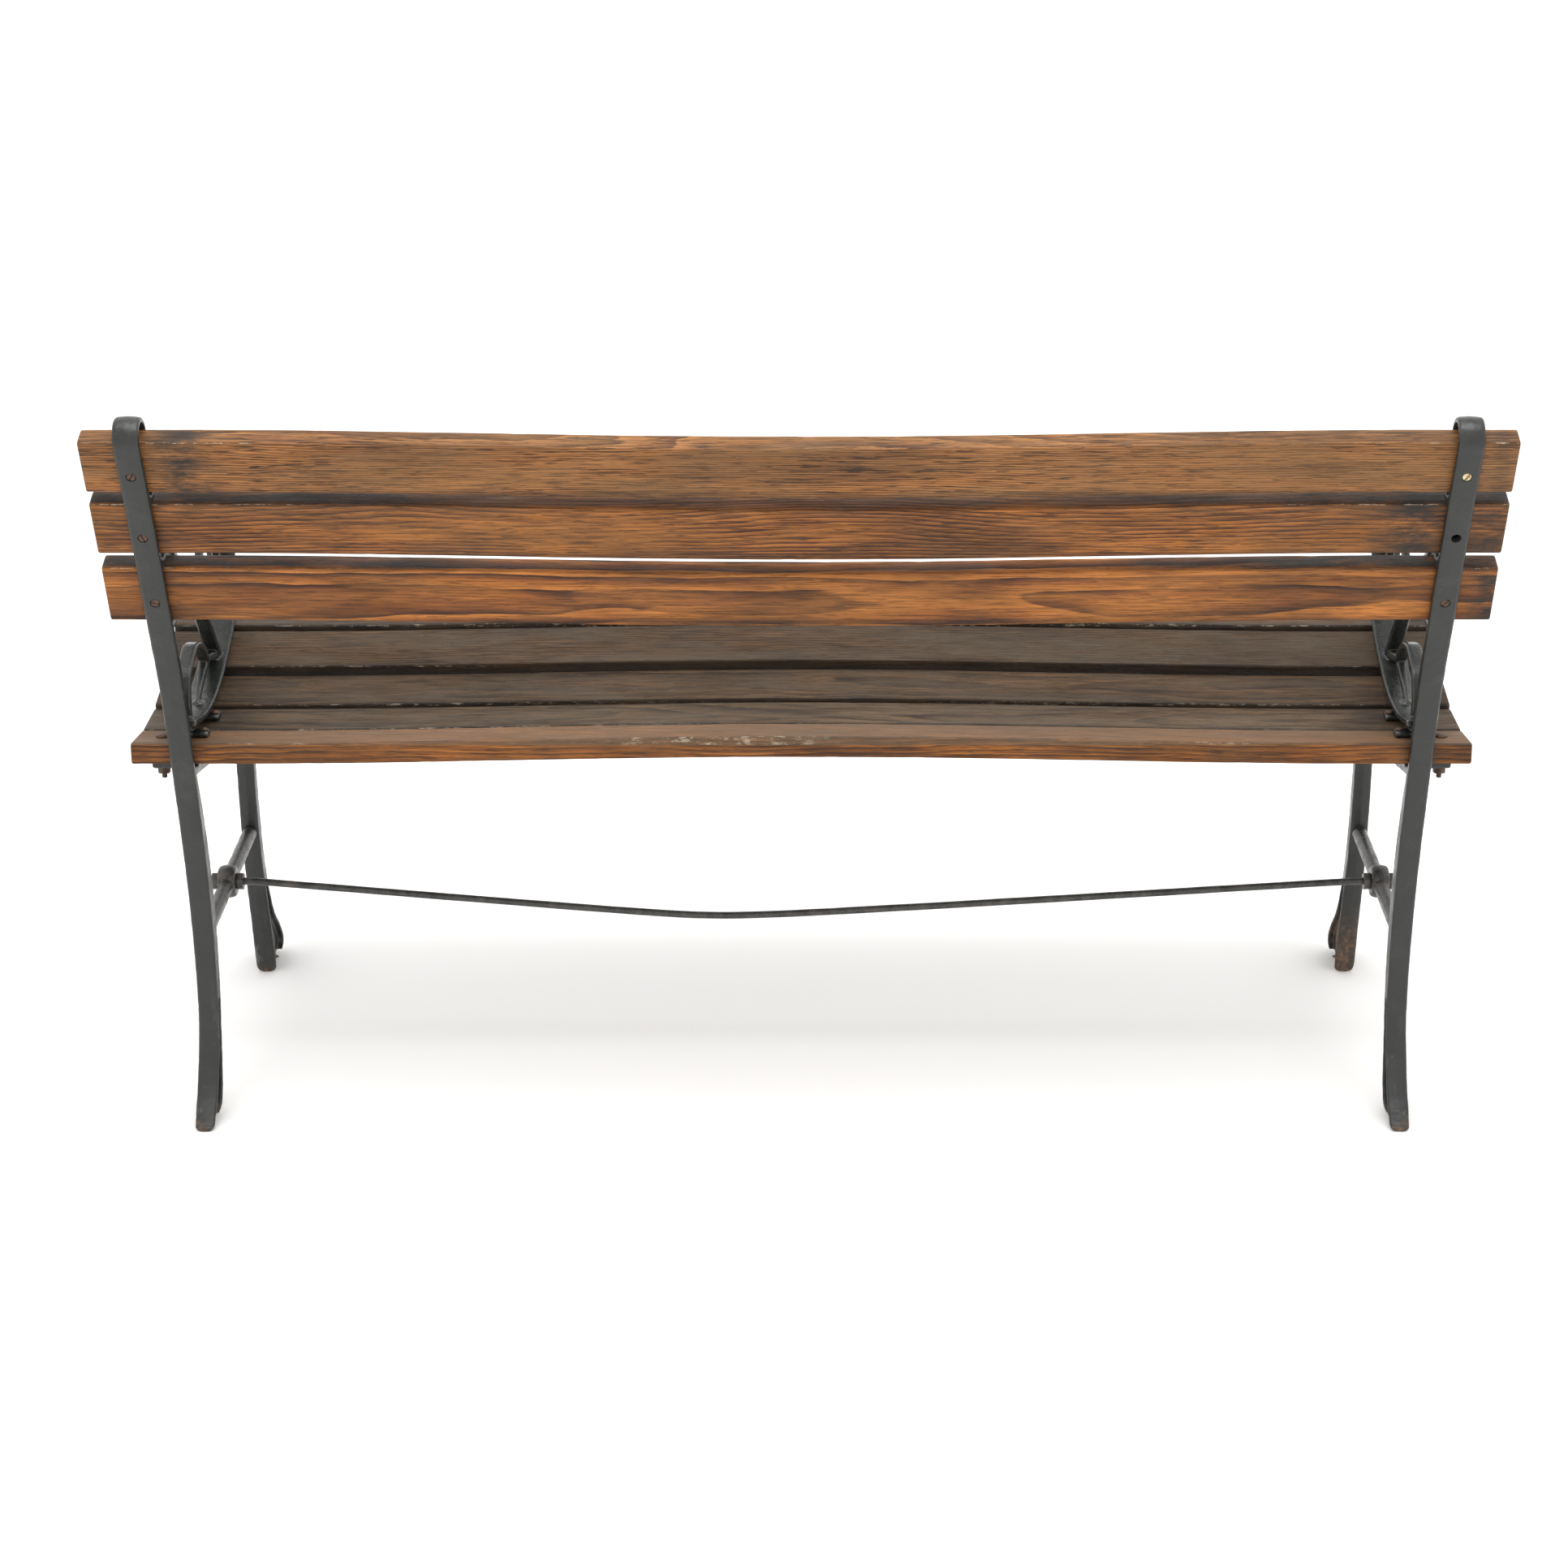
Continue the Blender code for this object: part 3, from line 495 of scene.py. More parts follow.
class Graph:
    """A material's node tree, with short calls that add a node and join it up."""

    def __init__(self, name, seed=0):
        self.seed = seed
        self.material = bpy.data.materials.new(name)
        self.material.use_nodes = True
        self.tree = self.material.node_tree
        self.shader = self.tree.nodes["Principled BSDF"]
        self.place = self.node("TexCoord", out="Object")

    def put(self, socket, value):
        """Join a socket to another socket, or set its value."""
        if isinstance(value, bpy.types.NodeSocket):
            self.tree.links.new(value, socket)
        elif socket.type == "RGBA" and len(value) == 3:
            socket.default_value = (*value, 1.0)
        else:
            socket.default_value = value

    def node(self, kind, inputs=None, out=0, **settings):
        """Add one node, fill its inputs and return one of its outputs."""
        item = self.tree.nodes.new("ShaderNode" + kind)
        for key, value in settings.items():
            setattr(item, key, value)
        for key, value in (inputs or {}).items():
            self.put(item.inputs[key], value)
        return item.outputs[out]

    def math(self, operation, a, b=0.0):
        """One sum on one or two numbers."""
        return self.node("Math", {0: a, 1: b}, operation=operation)

    def times(self, a, b):
        """Product of two numbers."""
        return self.math("MULTIPLY", a, b)

    def plus(self, a, b):
        """Sum of two numbers."""
        return self.math("ADD", a, b)

    def minus(self, a, b):
        """First number less the second."""
        return self.math("SUBTRACT", a, b)

    def most(self, a, b):
        """Larger of two numbers."""
        return self.math("MAXIMUM", a, b)

    def noise(self, factors, seed, detail=2.0, roughness=0.5):
        """Cloudy noise whose cells are one over the factors in size, from about 0.2 to 0.8."""
        if isinstance(factors, float):
            factors = (factors, factors, factors)
        offset = (seed * 1.37, seed * 2.11, seed * 0.73)
        stretched = self.node("Mapping", {"Vector": self.place, "Scale": factors, "Location": offset})
        return self.node("TexNoise", {
            "Vector": stretched, "Scale": 1.0, "Detail": detail, "Roughness": roughness})

    def grain(self, along, across, number, detail=2.0, roughness=0.5):
        """This board's own noise, with cells of one size along it and another across it."""
        return self.noise((along, across, across), self.seed + number, detail, roughness)

    def step(self, value, low, high, to_low=0.0, to_high=1.0):
        """Smooth step from one value to another while the input goes from low to high."""
        return self.node("MapRange", {
            "Value": value, "From Min": low, "From Max": high, "To Min": to_low, "To Max": to_high,
        }, interpolation_type="SMOOTHSTEP")

    def ramp(self, value, stops):
        """Colour ramp with stops of place and colour."""
        output = self.node("ValToRGB", {"Fac": value})
        elements = output.node.color_ramp.elements
        while len(elements) < len(stops):
            elements.new(0.5)
        for element, (place, colour) in zip(elements, stops):
            element.position = place
            element.color = (*colour, 1.0)
        return output

    def blend(self, factor, a, b, mode="MIX"):
        """Mix two colours."""
        output = self.node("Mix", {"Factor": factor}, out=2, data_type="RGBA", blend_type=mode)
        self.put(output.node.inputs[6], a)
        self.put(output.node.inputs[7], b)
        return output

    def axis(self, name):
        """One of the object's own coordinates."""
        return self.node("SeparateXYZ", {"Vector": self.place}, out=name)

    def finish(self, colour, roughness, height, bump, even):
        """Join colour, roughness and bump to the shader, and set its even values."""
        self.put(self.shader.inputs["Base Color"], colour)
        self.put(self.shader.inputs["Roughness"], roughness)
        normal = self.node("Bump", {"Height": height, "Distance": bump, "Strength": 1.0},
                           out="Normal")
        self.put(self.shader.inputs["Normal"], normal)
        for key, value in even.items():
            self.put(self.shader.inputs[key], value)
        return self.material


def growth_rings(g, look):
    """Place across each growth ring, from 0 to 1: rings wander round a pith line."""
    sway = g.times(g.minus(g.grain(look["sway_rate"], 9.0, 0), 0.5), look["sway"])
    heave = g.times(g.minus(g.grain(3.0, 12.0, 5), 0.5), look["sway"] * 1.6)
    across = g.plus(g.minus(g.axis("Y"), look["pith"][0]), sway)
    deep = g.plus(g.minus(g.axis("Z"), look["pith"][1]), heave)
    radius = g.math("SQRT", g.plus(g.times(across, across), g.times(deep, deep)))
    jitter = g.times(g.minus(g.grain(26.0, 150.0, 9), 0.5), look["jitter"])
    return g.math("FRACT", g.math("DIVIDE", g.plus(radius, jitter), look["spacing"]))


def wood(name, seed, look):
    """Flat-sawn board: rings, fibres, dashes, dark arrises of grime and painted gap shade, stains,
    wear and a painted glint.
    """
    g = Graph(name, seed)
    phase = growth_rings(g, look)
    light, middle, dark = look["rings"]
    colour = g.ramp(phase, [(0.0, dark), (0.06, light), (0.55, middle), (0.93, dark), (1.0, dark)])
    blotch = g.step(g.grain(5.0, 26.0, 2, 3.0, 0.6), 0.42, 0.62, 0.0, look["blotch"])
    colour = g.blend(blotch, colour, look["blotch_colour"])
    shadow = g.grain(3.2, 14.0, 12, 4.0, 0.65)
    dim = g.step(shadow, 0.36, 0.66, 1.0 + 0.5 * look["dim"], 1.0 - look["dim"])
    fibre = g.grain(11.0, 520.0, 3, 5.0, 0.78)
    shade = g.step(fibre, 0.36, 0.64, 1.0 - look["fibre"], 1.0 + 0.6 * look["fibre"])
    shade = g.times(shade, dim)
    colour = g.blend(1.0, colour, g.node("CombineColor", {0: shade, 1: shade, 2: shade}), "MULTIPLY")
    dashes = g.step(g.grain(30.0, 620.0, 4, 2.0, 0.6), 0.56, 0.62)
    colour = g.blend(g.times(dashes, look["dashes"]), colour, look["dash_colour"])
    grey = g.step(g.grain(5.0, 30.0, 6, 5.0, 0.7), 0.40, 0.62, 0.0, look["grey"])
    colour = g.blend(grey, colour, look["grey_colour"])
    top_face = g.step(g.axis("Z"), -0.0030, -0.0008, 0.0, look["face_grey"])
    colour = g.blend(top_face, colour, look["face_colour"])
    # Darker arrises and narrow faces: grime, and painted shade where the gaps between boards fall
    # dark.
    arris = g.step(g.grain(9.0, 40.0, 13, 4.0, 0.7), 0.38, 0.60, 0.45, 1.0)
    edges = g.times(grime_and_gap_shade_mask(g, look), arris)
    colour = g.blend(edges, colour, look["edge_marks_and_painted_light_colour"])
    colour = g.blend(stain_mask(g, look["stains"]), colour, (0.016, 0.014, 0.012))
    # Pale broken line on one arris: worn wood and a painted highlight.
    colour = g.blend(glint_mask(g, look), colour, look["glint_colour"])
    spots = g.step(g.grain(60.0, 90.0, 7), 0.70, 0.78)
    colour = g.blend(g.times(spots, look["spots"]), colour, look["spot_colour"])
    low_rough, high_rough = look["rough"] - 0.1, look["rough"] + 0.12
    rough = g.step(g.grain(16.0, 60.0, 8, 3.0), 0.3, 0.7, low_rough, high_rough)
    rough = g.minus(rough, g.times(edges, look["edge_gloss"]))
    height = g.plus(g.times(fibre, 0.7), g.times(phase, -0.25))
    height = g.minus(height, g.times(dashes, 0.5))
    even = {"Coat Weight": look["coat"], "Coat Roughness": 0.22, "Specular IOR Level": 0.25}
    return g.finish(colour, rough, height, 0.0007, even)


def glint_mask(g, look):
    """Broken line of pale worn wood and painted highlight along one of the top face's arrises."""
    along = g.step(g.grain(60.0, 200.0, 14, 4.0, 0.8), 0.52, 0.60)
    broad = g.step(g.grain(2.6, 4.0, 15), 0.42, 0.58)
    place = look["section"][0] if look["glint_side"] > 0 else 0.0
    from_edge = g.math("ABSOLUTE", g.minus(g.axis("Y"), place))
    near = g.times(g.step(from_edge, 0.0008, 0.0018, 1.0, 0.0), g.step(g.axis("Z"), -0.0018, -0.0008))
    return g.times(g.times(near, look["glint"]), g.times(along, broad))


def grime_and_gap_shade_mask(g, look):
    """Dark grime and painted gap shade at the board's arrises and narrow faces."""
    width, thick = look["section"]
    fade = look["edge_fade"]
    upper = g.step(g.axis("Y"), width - fade, width - 0.0012)
    lower = g.step(g.axis("Y"), 0.0012, fade, 1.0, 0.0)
    behind_face = g.step(g.axis("Z"), -thick * 0.2, -0.0012, 1.0, 0.0)
    narrow_upper = g.times(upper, g.plus(g.times(behind_face, 0.45), 0.55))
    return g.most(g.times(narrow_upper, look["upper_edge"]), g.times(lower, look["lower_edge"]))


def stain_mask(g, stains):
    """Marks of standing water, each with a place along the board, a reach and a strength."""
    along = g.times(g.axis("X"), -1.0)   # the boards' own X axes point to -X
    mottle = g.step(g.grain(22.0, 55.0, 11, 5.0, 0.75), 0.30, 0.62)
    total = 0.0
    for place, reach, strength in stains:
        away = g.math("ABSOLUTE", g.minus(along, place))
        total = g.most(total, g.times(g.step(away, 0.0, reach, strength, 0.0), mottle))
    return total


BACK_LOOK = {
    "rings": ((0.3, 0.11, 0.024), (0.2, 0.064, 0.011), (0.04, 0.011, 0.003)),
    "spacing": 0.0052, "pith": (0.03, -0.05), "sway": 0.02, "sway_rate": 1.6, "jitter": 0.002,
    "blotch": 0.6, "blotch_colour": (0.34, 0.122, 0.022), "fibre": 0.46, "dim": 0.42,
    "dashes": 0.7, "dash_colour": (0.02, 0.009, 0.005),
    "grey": 0.25, "grey_colour": (0.17, 0.09, 0.036), "rough": 0.5, "coat": 0.05,
    "spots": 0.25, "spot_colour": (0.03, 0.018, 0.01), "stains": [],
    "upper_edge": 0.97, "lower_edge": 0.45, "edge_fade": 0.005, "edge_gloss": 0.12,
    # The edge colour is grime and painted gap shade; the glint colour is pale wear and painted
    # highlight.
    "edge_marks_and_painted_light_colour": (0.009, 0.005, 0.003), "glint": 0.55, "glint_side": 1,
    "glint_colour": (0.5, 0.4, 0.28), "face_grey": 0.0, "face_colour": (0.2, 0.1, 0.05),
}
SEAT_LOOK = {
    "rings": ((0.088, 0.046, 0.019), (0.062, 0.034, 0.014), (0.026, 0.014, 0.007)),
    "spacing": 0.0045, "pith": (0.03, -0.06), "sway": 0.02, "sway_rate": 1.8, "jitter": 0.0018,
    "blotch": 0.4, "blotch_colour": (0.078, 0.038, 0.013), "fibre": 0.46, "dim": 0.35,
    "dashes": 0.55, "dash_colour": (0.012, 0.008, 0.006),
    "grey": 0.7, "grey_colour": (0.066, 0.046, 0.028), "rough": 0.58, "coat": 0.03,
    "spots": 0.3, "spot_colour": (0.12, 0.085, 0.058), "stains": [],
    "upper_edge": 0.6, "lower_edge": 0.75, "edge_fade": 0.0042, "edge_gloss": 0.15,
    # The edge colour is grime and painted gap shade; the glint colour is pale wear and painted
    # highlight.
    "edge_marks_and_painted_light_colour": (0.009, 0.006, 0.004), "section": (SEAT_SLAT_WIDTH, SEAT_SLAT_THICK),
    "glint": 0.6, "glint_side": -1, "glint_colour": (0.34, 0.28, 0.2),
    "face_grey": 0.0, "face_colour": (0.2, 0.1, 0.05),
}
# How each board differs from the usual look of its kind.
BOARD_LOOKS = {
    "back_slat_top": (BACK_LOOK, {
        "spacing": 0.0026, "pith": (0.15, -0.03), "sway": 0.026, "jitter": 0.0014,
        "rings": ((0.33, 0.145, 0.044), (0.225, 0.09, 0.025), (0.08, 0.028, 0.009)),
        "dashes": 0.9, "dim": 0.28, "upper_edge": 0.3,
        "grey": 0.4, "grey_colour": (0.235, 0.122, 0.046), "blotch": 0.25, "glint": 0.8,
        "stains": [(0.605, 0.05, 0.9), (-0.69, 0.02, 0.5), (0.1, 0.03, 0.2)],
    }),
    "back_slat_middle": (BACK_LOOK, {
        "spacing": 0.004, "pith": (0.09, -0.04), "blotch": 0.7, "sway": 0.022,
        "stains": [(-0.615, 0.06, 1.0), (-0.69, 0.04, 0.9), (0.64, 0.02, 0.4)],
    }),
    "back_slat_bottom": (BACK_LOOK, {
        "spacing": 0.0085, "pith": (0.026, -0.039), "sway": 0.024, "sway_rate": 1.3,
        "rings": ((0.39, 0.138, 0.026), (0.225, 0.07, 0.013), (0.045, 0.013, 0.004)),
        "dashes": 0.45, "fibre": 0.36,
        "stains": [(-0.7, 0.035, 1.0), (0.64, 0.015, 0.4)], "grey": 0.1,
    }),
    "seat_slat_1_rear": (SEAT_LOOK, {
        "rings": ((0.32, 0.112, 0.018), (0.205, 0.066, 0.011), (0.07, 0.024, 0.008)),
        "grey": 0.25, "grey_colour": (0.18, 0.092, 0.036),
        "blotch_colour": (0.3, 0.095, 0.014), "glint": 0.9, "dim": 0.55,
        "face_grey": 0.62, "face_colour": (0.165, 0.11, 0.066),
        "upper_edge": 0.7, "lower_edge": 0.35, "pith": (0.1, -0.12),
        "stains": [(0.655, 0.03, 0.8), (-0.655, 0.03, 0.8)],
    }),
    "seat_slat_2": (SEAT_LOOK, {
        "rings": ((0.105, 0.06, 0.027), (0.08, 0.047, 0.021), (0.026, 0.014, 0.007)),
        "grey_colour": (0.09, 0.064, 0.04),
        "stains": [(0.62, 0.05, 0.6), (-0.62, 0.05, 0.7)],
    }),
    "seat_slat_3": (SEAT_LOOK, {"spacing": 0.006, "pith": (0.04, -0.045)}),
    "seat_slat_4": (SEAT_LOOK, {"spacing": 0.0035, "pith": (0.12, -0.05)}),
    "seat_slat_5": (SEAT_LOOK, {"spacing": 0.005}),
    "seat_slat_6_front": (SEAT_LOOK, {"spacing": 0.007, "pith": (0.02, -0.04)}),
}


def wood_looks():
    """The material of each board, by the name of its CAD node."""
    sections = {row[0]: {"section": (row[4], BACK_SLAT_THICK)} for row in BACK_SLATS}
    return {node: wood("wood_" + node, 3 + 7 * number, {**base, **sections.get(node, {}), **changes})
            for number, (node, (base, changes)) in enumerate(BOARD_LOOKS.items())}


def painted_iron(name, edge_marks_and_painted_light_colour, low_rough):
    """Dark paint on cast iron: lighter at the edges where worn, and on the arms also a painted
    highlight there; chipped, and rusty at the feet.
    """
    g = Graph(name)
    cloud = g.noise(30.0, 2, 4.0, 0.6)
    fine = g.noise(420.0, 5, 3.0, 0.6)
    grain = g.noise(1500.0, 8, 2.0, 0.5)
    colour = g.ramp(cloud, [(0.25, (0.008, 0.01, 0.009)), (0.55, (0.015, 0.017, 0.015)),
                            (0.8, (0.03, 0.03, 0.026))])
    wear = g.node("Attribute", out="Fac", attribute_name="wear")
    edge = g.step(g.plus(wear, g.times(g.minus(fine, 0.5), 0.1)), 0.1, 0.26)
    # Lighter edges: worn paint, and on the arms a painted highlight as well.
    colour = g.blend(g.times(edge, 0.7), colour, edge_marks_and_painted_light_colour)
    chips = g.step(g.noise((95.0, 95.0, 70.0), 11, 4.0, 0.7), 0.66, 0.7)
    colour = g.blend(g.times(chips, 0.55), colour, (0.052, 0.038, 0.029))
    level = g.axis("Z")
    low = g.step(level, 0.0, 0.016, 1.0, 0.0)
    rusty = g.step(g.noise(55.0, 17, 5.0, 0.7), 0.44, 0.62)
    rust = g.times(low, rusty)
    front_right = g.times(g.step(g.axis("X"), -0.4, -0.5), g.step(g.axis("Y"), -0.1, -0.15))
    tall = g.times(g.step(level, 0.02, 0.11, 0.85, 0.0), front_right)
    rust = g.most(rust, g.times(tall, g.step(rusty, 0.0, 0.6, 0.35, 1.0)))
    rust_colour = g.ramp(g.noise(160.0, 23, 4.0), [
        (0.3, (0.04, 0.022, 0.013)), (0.5, (0.09, 0.048, 0.026)), (0.7, (0.19, 0.1, 0.05))])
    colour = g.blend(rust, colour, rust_colour)
    scuff = g.step(g.noise((46.0, 46.0, 12.0), 29, 5.0, 0.75), 0.56, 0.7)
    scuffed = g.times(scuff, g.step(level, 0.05, 0.14, 0.55, 0.0))
    colour = g.blend(scuffed, colour, (0.12, 0.118, 0.108))
    polished = g.step(level, 0.765, 0.785)
    rough = g.step(cloud, 0.3, 0.7, low_rough, low_rough + 0.18)
    rough = g.plus(rough, g.times(rust, 0.3))
    rough = g.minus(rough, g.times(polished, 0.13))
    height = g.plus(g.times(fine, 0.6), g.times(grain, 0.25))
    height = g.minus(height, g.times(chips, 0.4))
    return g.finish(colour, rough, height, 0.0005, {"Specular IOR Level": 0.48})


def clouded_metal(name, cloud, stops, rough, fine, bump, metallic):
    """Metal whose colour and gloss change in clouds, with a finely rough skin."""
    g = Graph(name)
    clouds = g.noise(*cloud)
    return g.finish(g.ramp(clouds, stops), g.step(clouds, *rough), g.noise(*fine), bump,
                    {"Metallic": metallic})


def worn_iron():
    """Bare worn iron of the stretchers, rod and nuts, rusty in places."""
    stops = [(0.3, (0.024, 0.024, 0.023)), (0.55, (0.06, 0.058, 0.054)),
             (0.66, (0.1, 0.086, 0.074)), (0.8, (0.095, 0.056, 0.034))]
    return clouded_metal("worn_iron", (60.0, 31, 4.0, 0.65), stops, (0.45, 0.7, 0.26, 0.55),
                         (600.0, 37, 3.0, 0.6), 0.0005, 0.35)


def rusty_steel():
    """Old bolts and screws."""
    stops = [(0.3, (0.03, 0.022, 0.018)), (0.5, (0.085, 0.05, 0.034)),
             (0.7, (0.17, 0.095, 0.058))]
    return clouded_metal("rusty_steel", (260.0, 41, 4.0, 0.65), stops, (0.35, 0.65, 0.4, 0.7),
                         (1400.0, 43, 3.0, 0.6), 0.0004, 0.45)


def bright_brass():
    """The one newer screw."""
    stops = [(0.3, (0.23, 0.16, 0.08)), (0.55, (0.62, 0.49, 0.3)),
             (0.8, (0.76, 0.66, 0.47))]
    return clouded_metal("bright_brass", (300.0, 47, 3.0, 0.6), stops, (0.35, 0.65, 0.24, 0.42),
                         ((1800.0, 300.0, 1800.0), 53, 2.0, 0.5), 0.0002, 0.9)


def floor_paper():
    """Plain white studio floor with a faint tooth."""
    g = Graph("floor_paper")
    cloud = g.noise(0.8, 59, 2.0)
    colour = g.ramp(cloud, [(0.3, (0.955, 0.951, 0.943)), (0.7, (0.965, 0.962, 0.956))])
    return g.finish(colour, 0.75, g.noise(900.0, 61), 0.0001, {})


# ---- boards

def slat_bend(x):
    """Share of a slat's bend at one place along it: 0 near its ends, 1 at the middle."""
    if abs(x) >= FLAT_FROM:
        return 0.0
    return cos(pi * x / (2 * FLAT_FROM)) ** 2


def board_outline(width, thick):
    """Section of a board: rounded arrises and points across its faces."""
    arris = 0.0021
    wide_steps = 8
    narrow_steps = 3
    outline = []
    corners = [
        (width - arris, -arris, 90, 0), (width - arris, arris - thick, 0, -90),
        (arris, arris - thick, -90, -180), (arris, -arris, -180, -270),
    ]
    for number, (a, b, first, last) in enumerate(corners):
        outline += arc((a, b), arris, first, last)
        steps = wide_steps if number in (1, 3) else narrow_steps
        following = corners[(number + 1) % 4]
        turn = radians(following[2])
        start = Vector(outline[-1])
        end = Vector((following[0] + arris * cos(turn), following[1] + arris * sin(turn)))
        for k in range(1, steps):
            outline.append(tuple(start + (end - start) * k / steps))
    return outline


def board_wear(a, b, x, middle, half, seed):
    """How far a point of a board's section has worn in: chips at the arrises, waves elsewhere."""
    near_corner = (abs(a - middle[0]) / half[0]) ** 6 * (abs(b - middle[1]) / half[1]) ** 6
    dent = noise.noise(Vector((x * 14, a * 60 + seed, b * 60)))
    chip = max(0.0, noise.noise(Vector((x * 45, a * 30 + seed * 3, b * 30))) - 0.25)
    wave = 0.00025 * noise.noise(Vector((x * 5, a * 25, b * 25 + seed)))
    return near_corner * (0.0003 + 0.0004 * dent + 0.0016 * chip) + abs(wave)


def board_mesh(length, width, thick, bend, seed):
    """Board in its own axes: X along, Y across from one edge, Z out of its top face."""
    outline = board_outline(width, thick)
    half = (width / 2, thick / 2)
    middle = Vector((half[0], -half[1]))
    step = 0.006
    end_round = 0.0022
    count = round(length / step)
    places = [0.0, 0.0004, 0.0012]
    places += [end_round + (length - 2 * end_round) * k / count for k in range(count + 1)]
    places += [length - 0.0012, length - 0.0004, length]
    rings = []
    for place in places:
        x = place - length / 2
        shift = slat_bend(x)
        to_end = min(place, length - place)
        inset = 0.0
        if to_end < end_round:
            inset = end_round - sqrt(end_round ** 2 - (end_round - to_end) ** 2)
        ring = []
        for a, b in outline:
            wear = board_wear(a, b, x, middle, half, seed)
            point = Vector((a, b)) + (middle - Vector((a, b))).normalized() * wear
            point += Vector((copysign(1, middle[0] - a), copysign(1, middle[1] - b))) * inset
            ring.append(Vector((x, point[0] + shift * bend[0], point[1] + shift * bend[1])))
        rings.append(ring)
    return tube(rings, "board")


def add_boards(woods):
    """Six seat boards and three back boards."""
    for number, row in enumerate(SEAT_SLATS):
        corner, _, out = seat_slat_frame(row)
        # The board's Y axis runs forward along its slope, so its X axis points to -X.
        matrix = side_matrix(corner, out, facing=-1)
        tilt = radians(row[3])
        bend = (sin(tilt) * SEAT_CROWN, cos(tilt) * SEAT_CROWN)
        mesh = board_mesh(SEAT_LENGTH, SEAT_SLAT_WIDTH, SEAT_SLAT_THICK, bend, 11 * number + 2)
        add_piece("board_" + row[0], mesh, (woods[row[0]], "oak_seat"), row[0], matrix)
    for number, row in enumerate(BACK_SLATS):
        place, up, out = strap_place(row)
        width = row[4]
        rear = place + out * (STRAP_THICK + GAP)
        # The board's Z axis points to the rear and its Y axis up the lean.
        corner = rear - up * (width / 2)
        matrix = side_matrix(corner, -out, facing=-1)
        lean = radians(row[3])
        bend = (-cos(lean) * BACK_DIP, sin(lean) * BACK_DIP)
        mesh = board_mesh(BACK_LENGTH, width, BACK_SLAT_THICK, bend, 17 * number + 5)
        if row[0] == MISSING_SCREW[0]:
            bore = turned([(0.0024, -0.016), (0.0027, 0.004)], 20, Matrix.Translation(
                (frame_x(row[2]), width / 2 - SCREW_DROP, 0.0)))
            mesh = cut(mesh, bore)
        add_piece("board_" + row[0], mesh, (woods[row[0]], "oak_back"), row[0], matrix)


# ---- castings

def upright_rows():
    """Rows for the rear leg, the back strap and the hook at its top."""
    rows = rounded_foot(smooth_path(UPRIGHT, PATH_STEPS))
    flat_beyond = 0.002
    strap_rows = []
    for row in reversed(BACK_SLATS):
        place, up, _ = strap_place(row)
        reach = row[4] / 2 + flat_beyond
        for way in (-1, 1):
            point = place + up * (reach * way)
            strap_rows.append(Vector((point[0], point[1], STRAP_THICK, row[3], STRAP_HALF_WIDTH)))
    strap_rows.pop()
    rows += strap_rows
    place, up, out = strap_place(BACK_SLATS[0])
    lean = BACK_SLATS[0][3]
    centre = place + up * (BACK_SLATS[0][4] / 2 - HOOK_DROP) + out * CURL_RADIUS
    end_turn = 192
    turns = 30
    hook_thick = 0.0085
    hook_taper = 0.002
    for k in range(turns + 1):
        angle = end_turn * k / turns
        direction = slope(lean - angle)[0]
        point = centre - direction * CURL_RADIUS
        depth = hook_thick - hook_taper * k / turns
        rows.append(Vector((point[0], point[1], depth, lean - angle, STRAP_HALF_WIDTH)))
    return rows


def rounded_foot(rows):
    """Narrow a leg's lowest few millimetres so that its foot ends in a rounded edge."""
    rounding = 0.007
    base = min(rows, key=lambda row: row[1])
    upper = [row for row in rows if row[1] > rounding]
    floor_rows = []
    for height in (0.0, 0.0006, 0.0018, 0.0040):
        part = 1 - height / rounding
        pinch = rounding * 0.75 * (1 - sqrt(max(0.0, 1 - part * part)))
        floor_rows.append(Vector((base[0], height, base[2], base[3], base[4] - pinch)))
    if rows[0] is base:
        return floor_rows + upper
    return upper + floor_rows[::-1]


def rail_and_leg_rows():
    """Rows for the seat rail, which follows the slats' undersides, and the front leg."""
    rows = [(0.0560, 0.3880, 0.012, 82, RAIL_HALF_WIDTH)]
    for row in SEAT_SLATS[:-1]:
        depth = RAIL_START_DEPTH if row is SEAT_SLATS[0] else RAIL_DEPTH
        top, out = seat_bolt_place(row)
        base = top - out * (SEAT_SLAT_THICK + LUG_SINK + depth)
        rows.append((base[0], base[1], depth, 90 + row[3], RAIL_HALF_WIDTH))
    return rounded_foot(smooth_path(rows[:-1] + FRONT_LEG, PATH_STEPS))


def foot_pockets(rows):
    """Cutters for the hollows on both sides of the web in one flared foot."""
    low = sorted((row for row in rows if row[1] <= POCKET_TOP), key=lambda row: row[1])
    wide = 0.012
    inner = []
    for row in low:
        start = Vector(row[:2]) + slope(row[3])[0] * POCKET_WALL
        inner.append((start[0], start[1], row[2] - 2 * POCKET_WALL, row[3], wide))
    first = inner[0]
    inner.insert(0, (first[0], -0.004, first[2], first[3], wide))
    cutters = []
    for way in (-1, 1):
        cutter = loft(inner, radius=0.001)
        cutter.transform(Matrix.Translation((way * (WEB_HALF + wide), 0.0, 0.0)))
        cutters.append(cutter)
    return cutters


def seat_lug(row):
    """Lug of the seat rail under one slat, from the rail out past the bolt."""
    top, out = seat_bolt_place(row)
    inboard = 0.012
    outboard = BOLT_OUTBOARD + 0.0105
    place = top - out * (SEAT_SLAT_THICK + GAP + LUG_THICK / 2)
    matrix = side_matrix(place, out, (outboard - inboard) / 2)
    return block((inboard + outboard, LUG_LONG, LUG_THICK), matrix, 0.002)


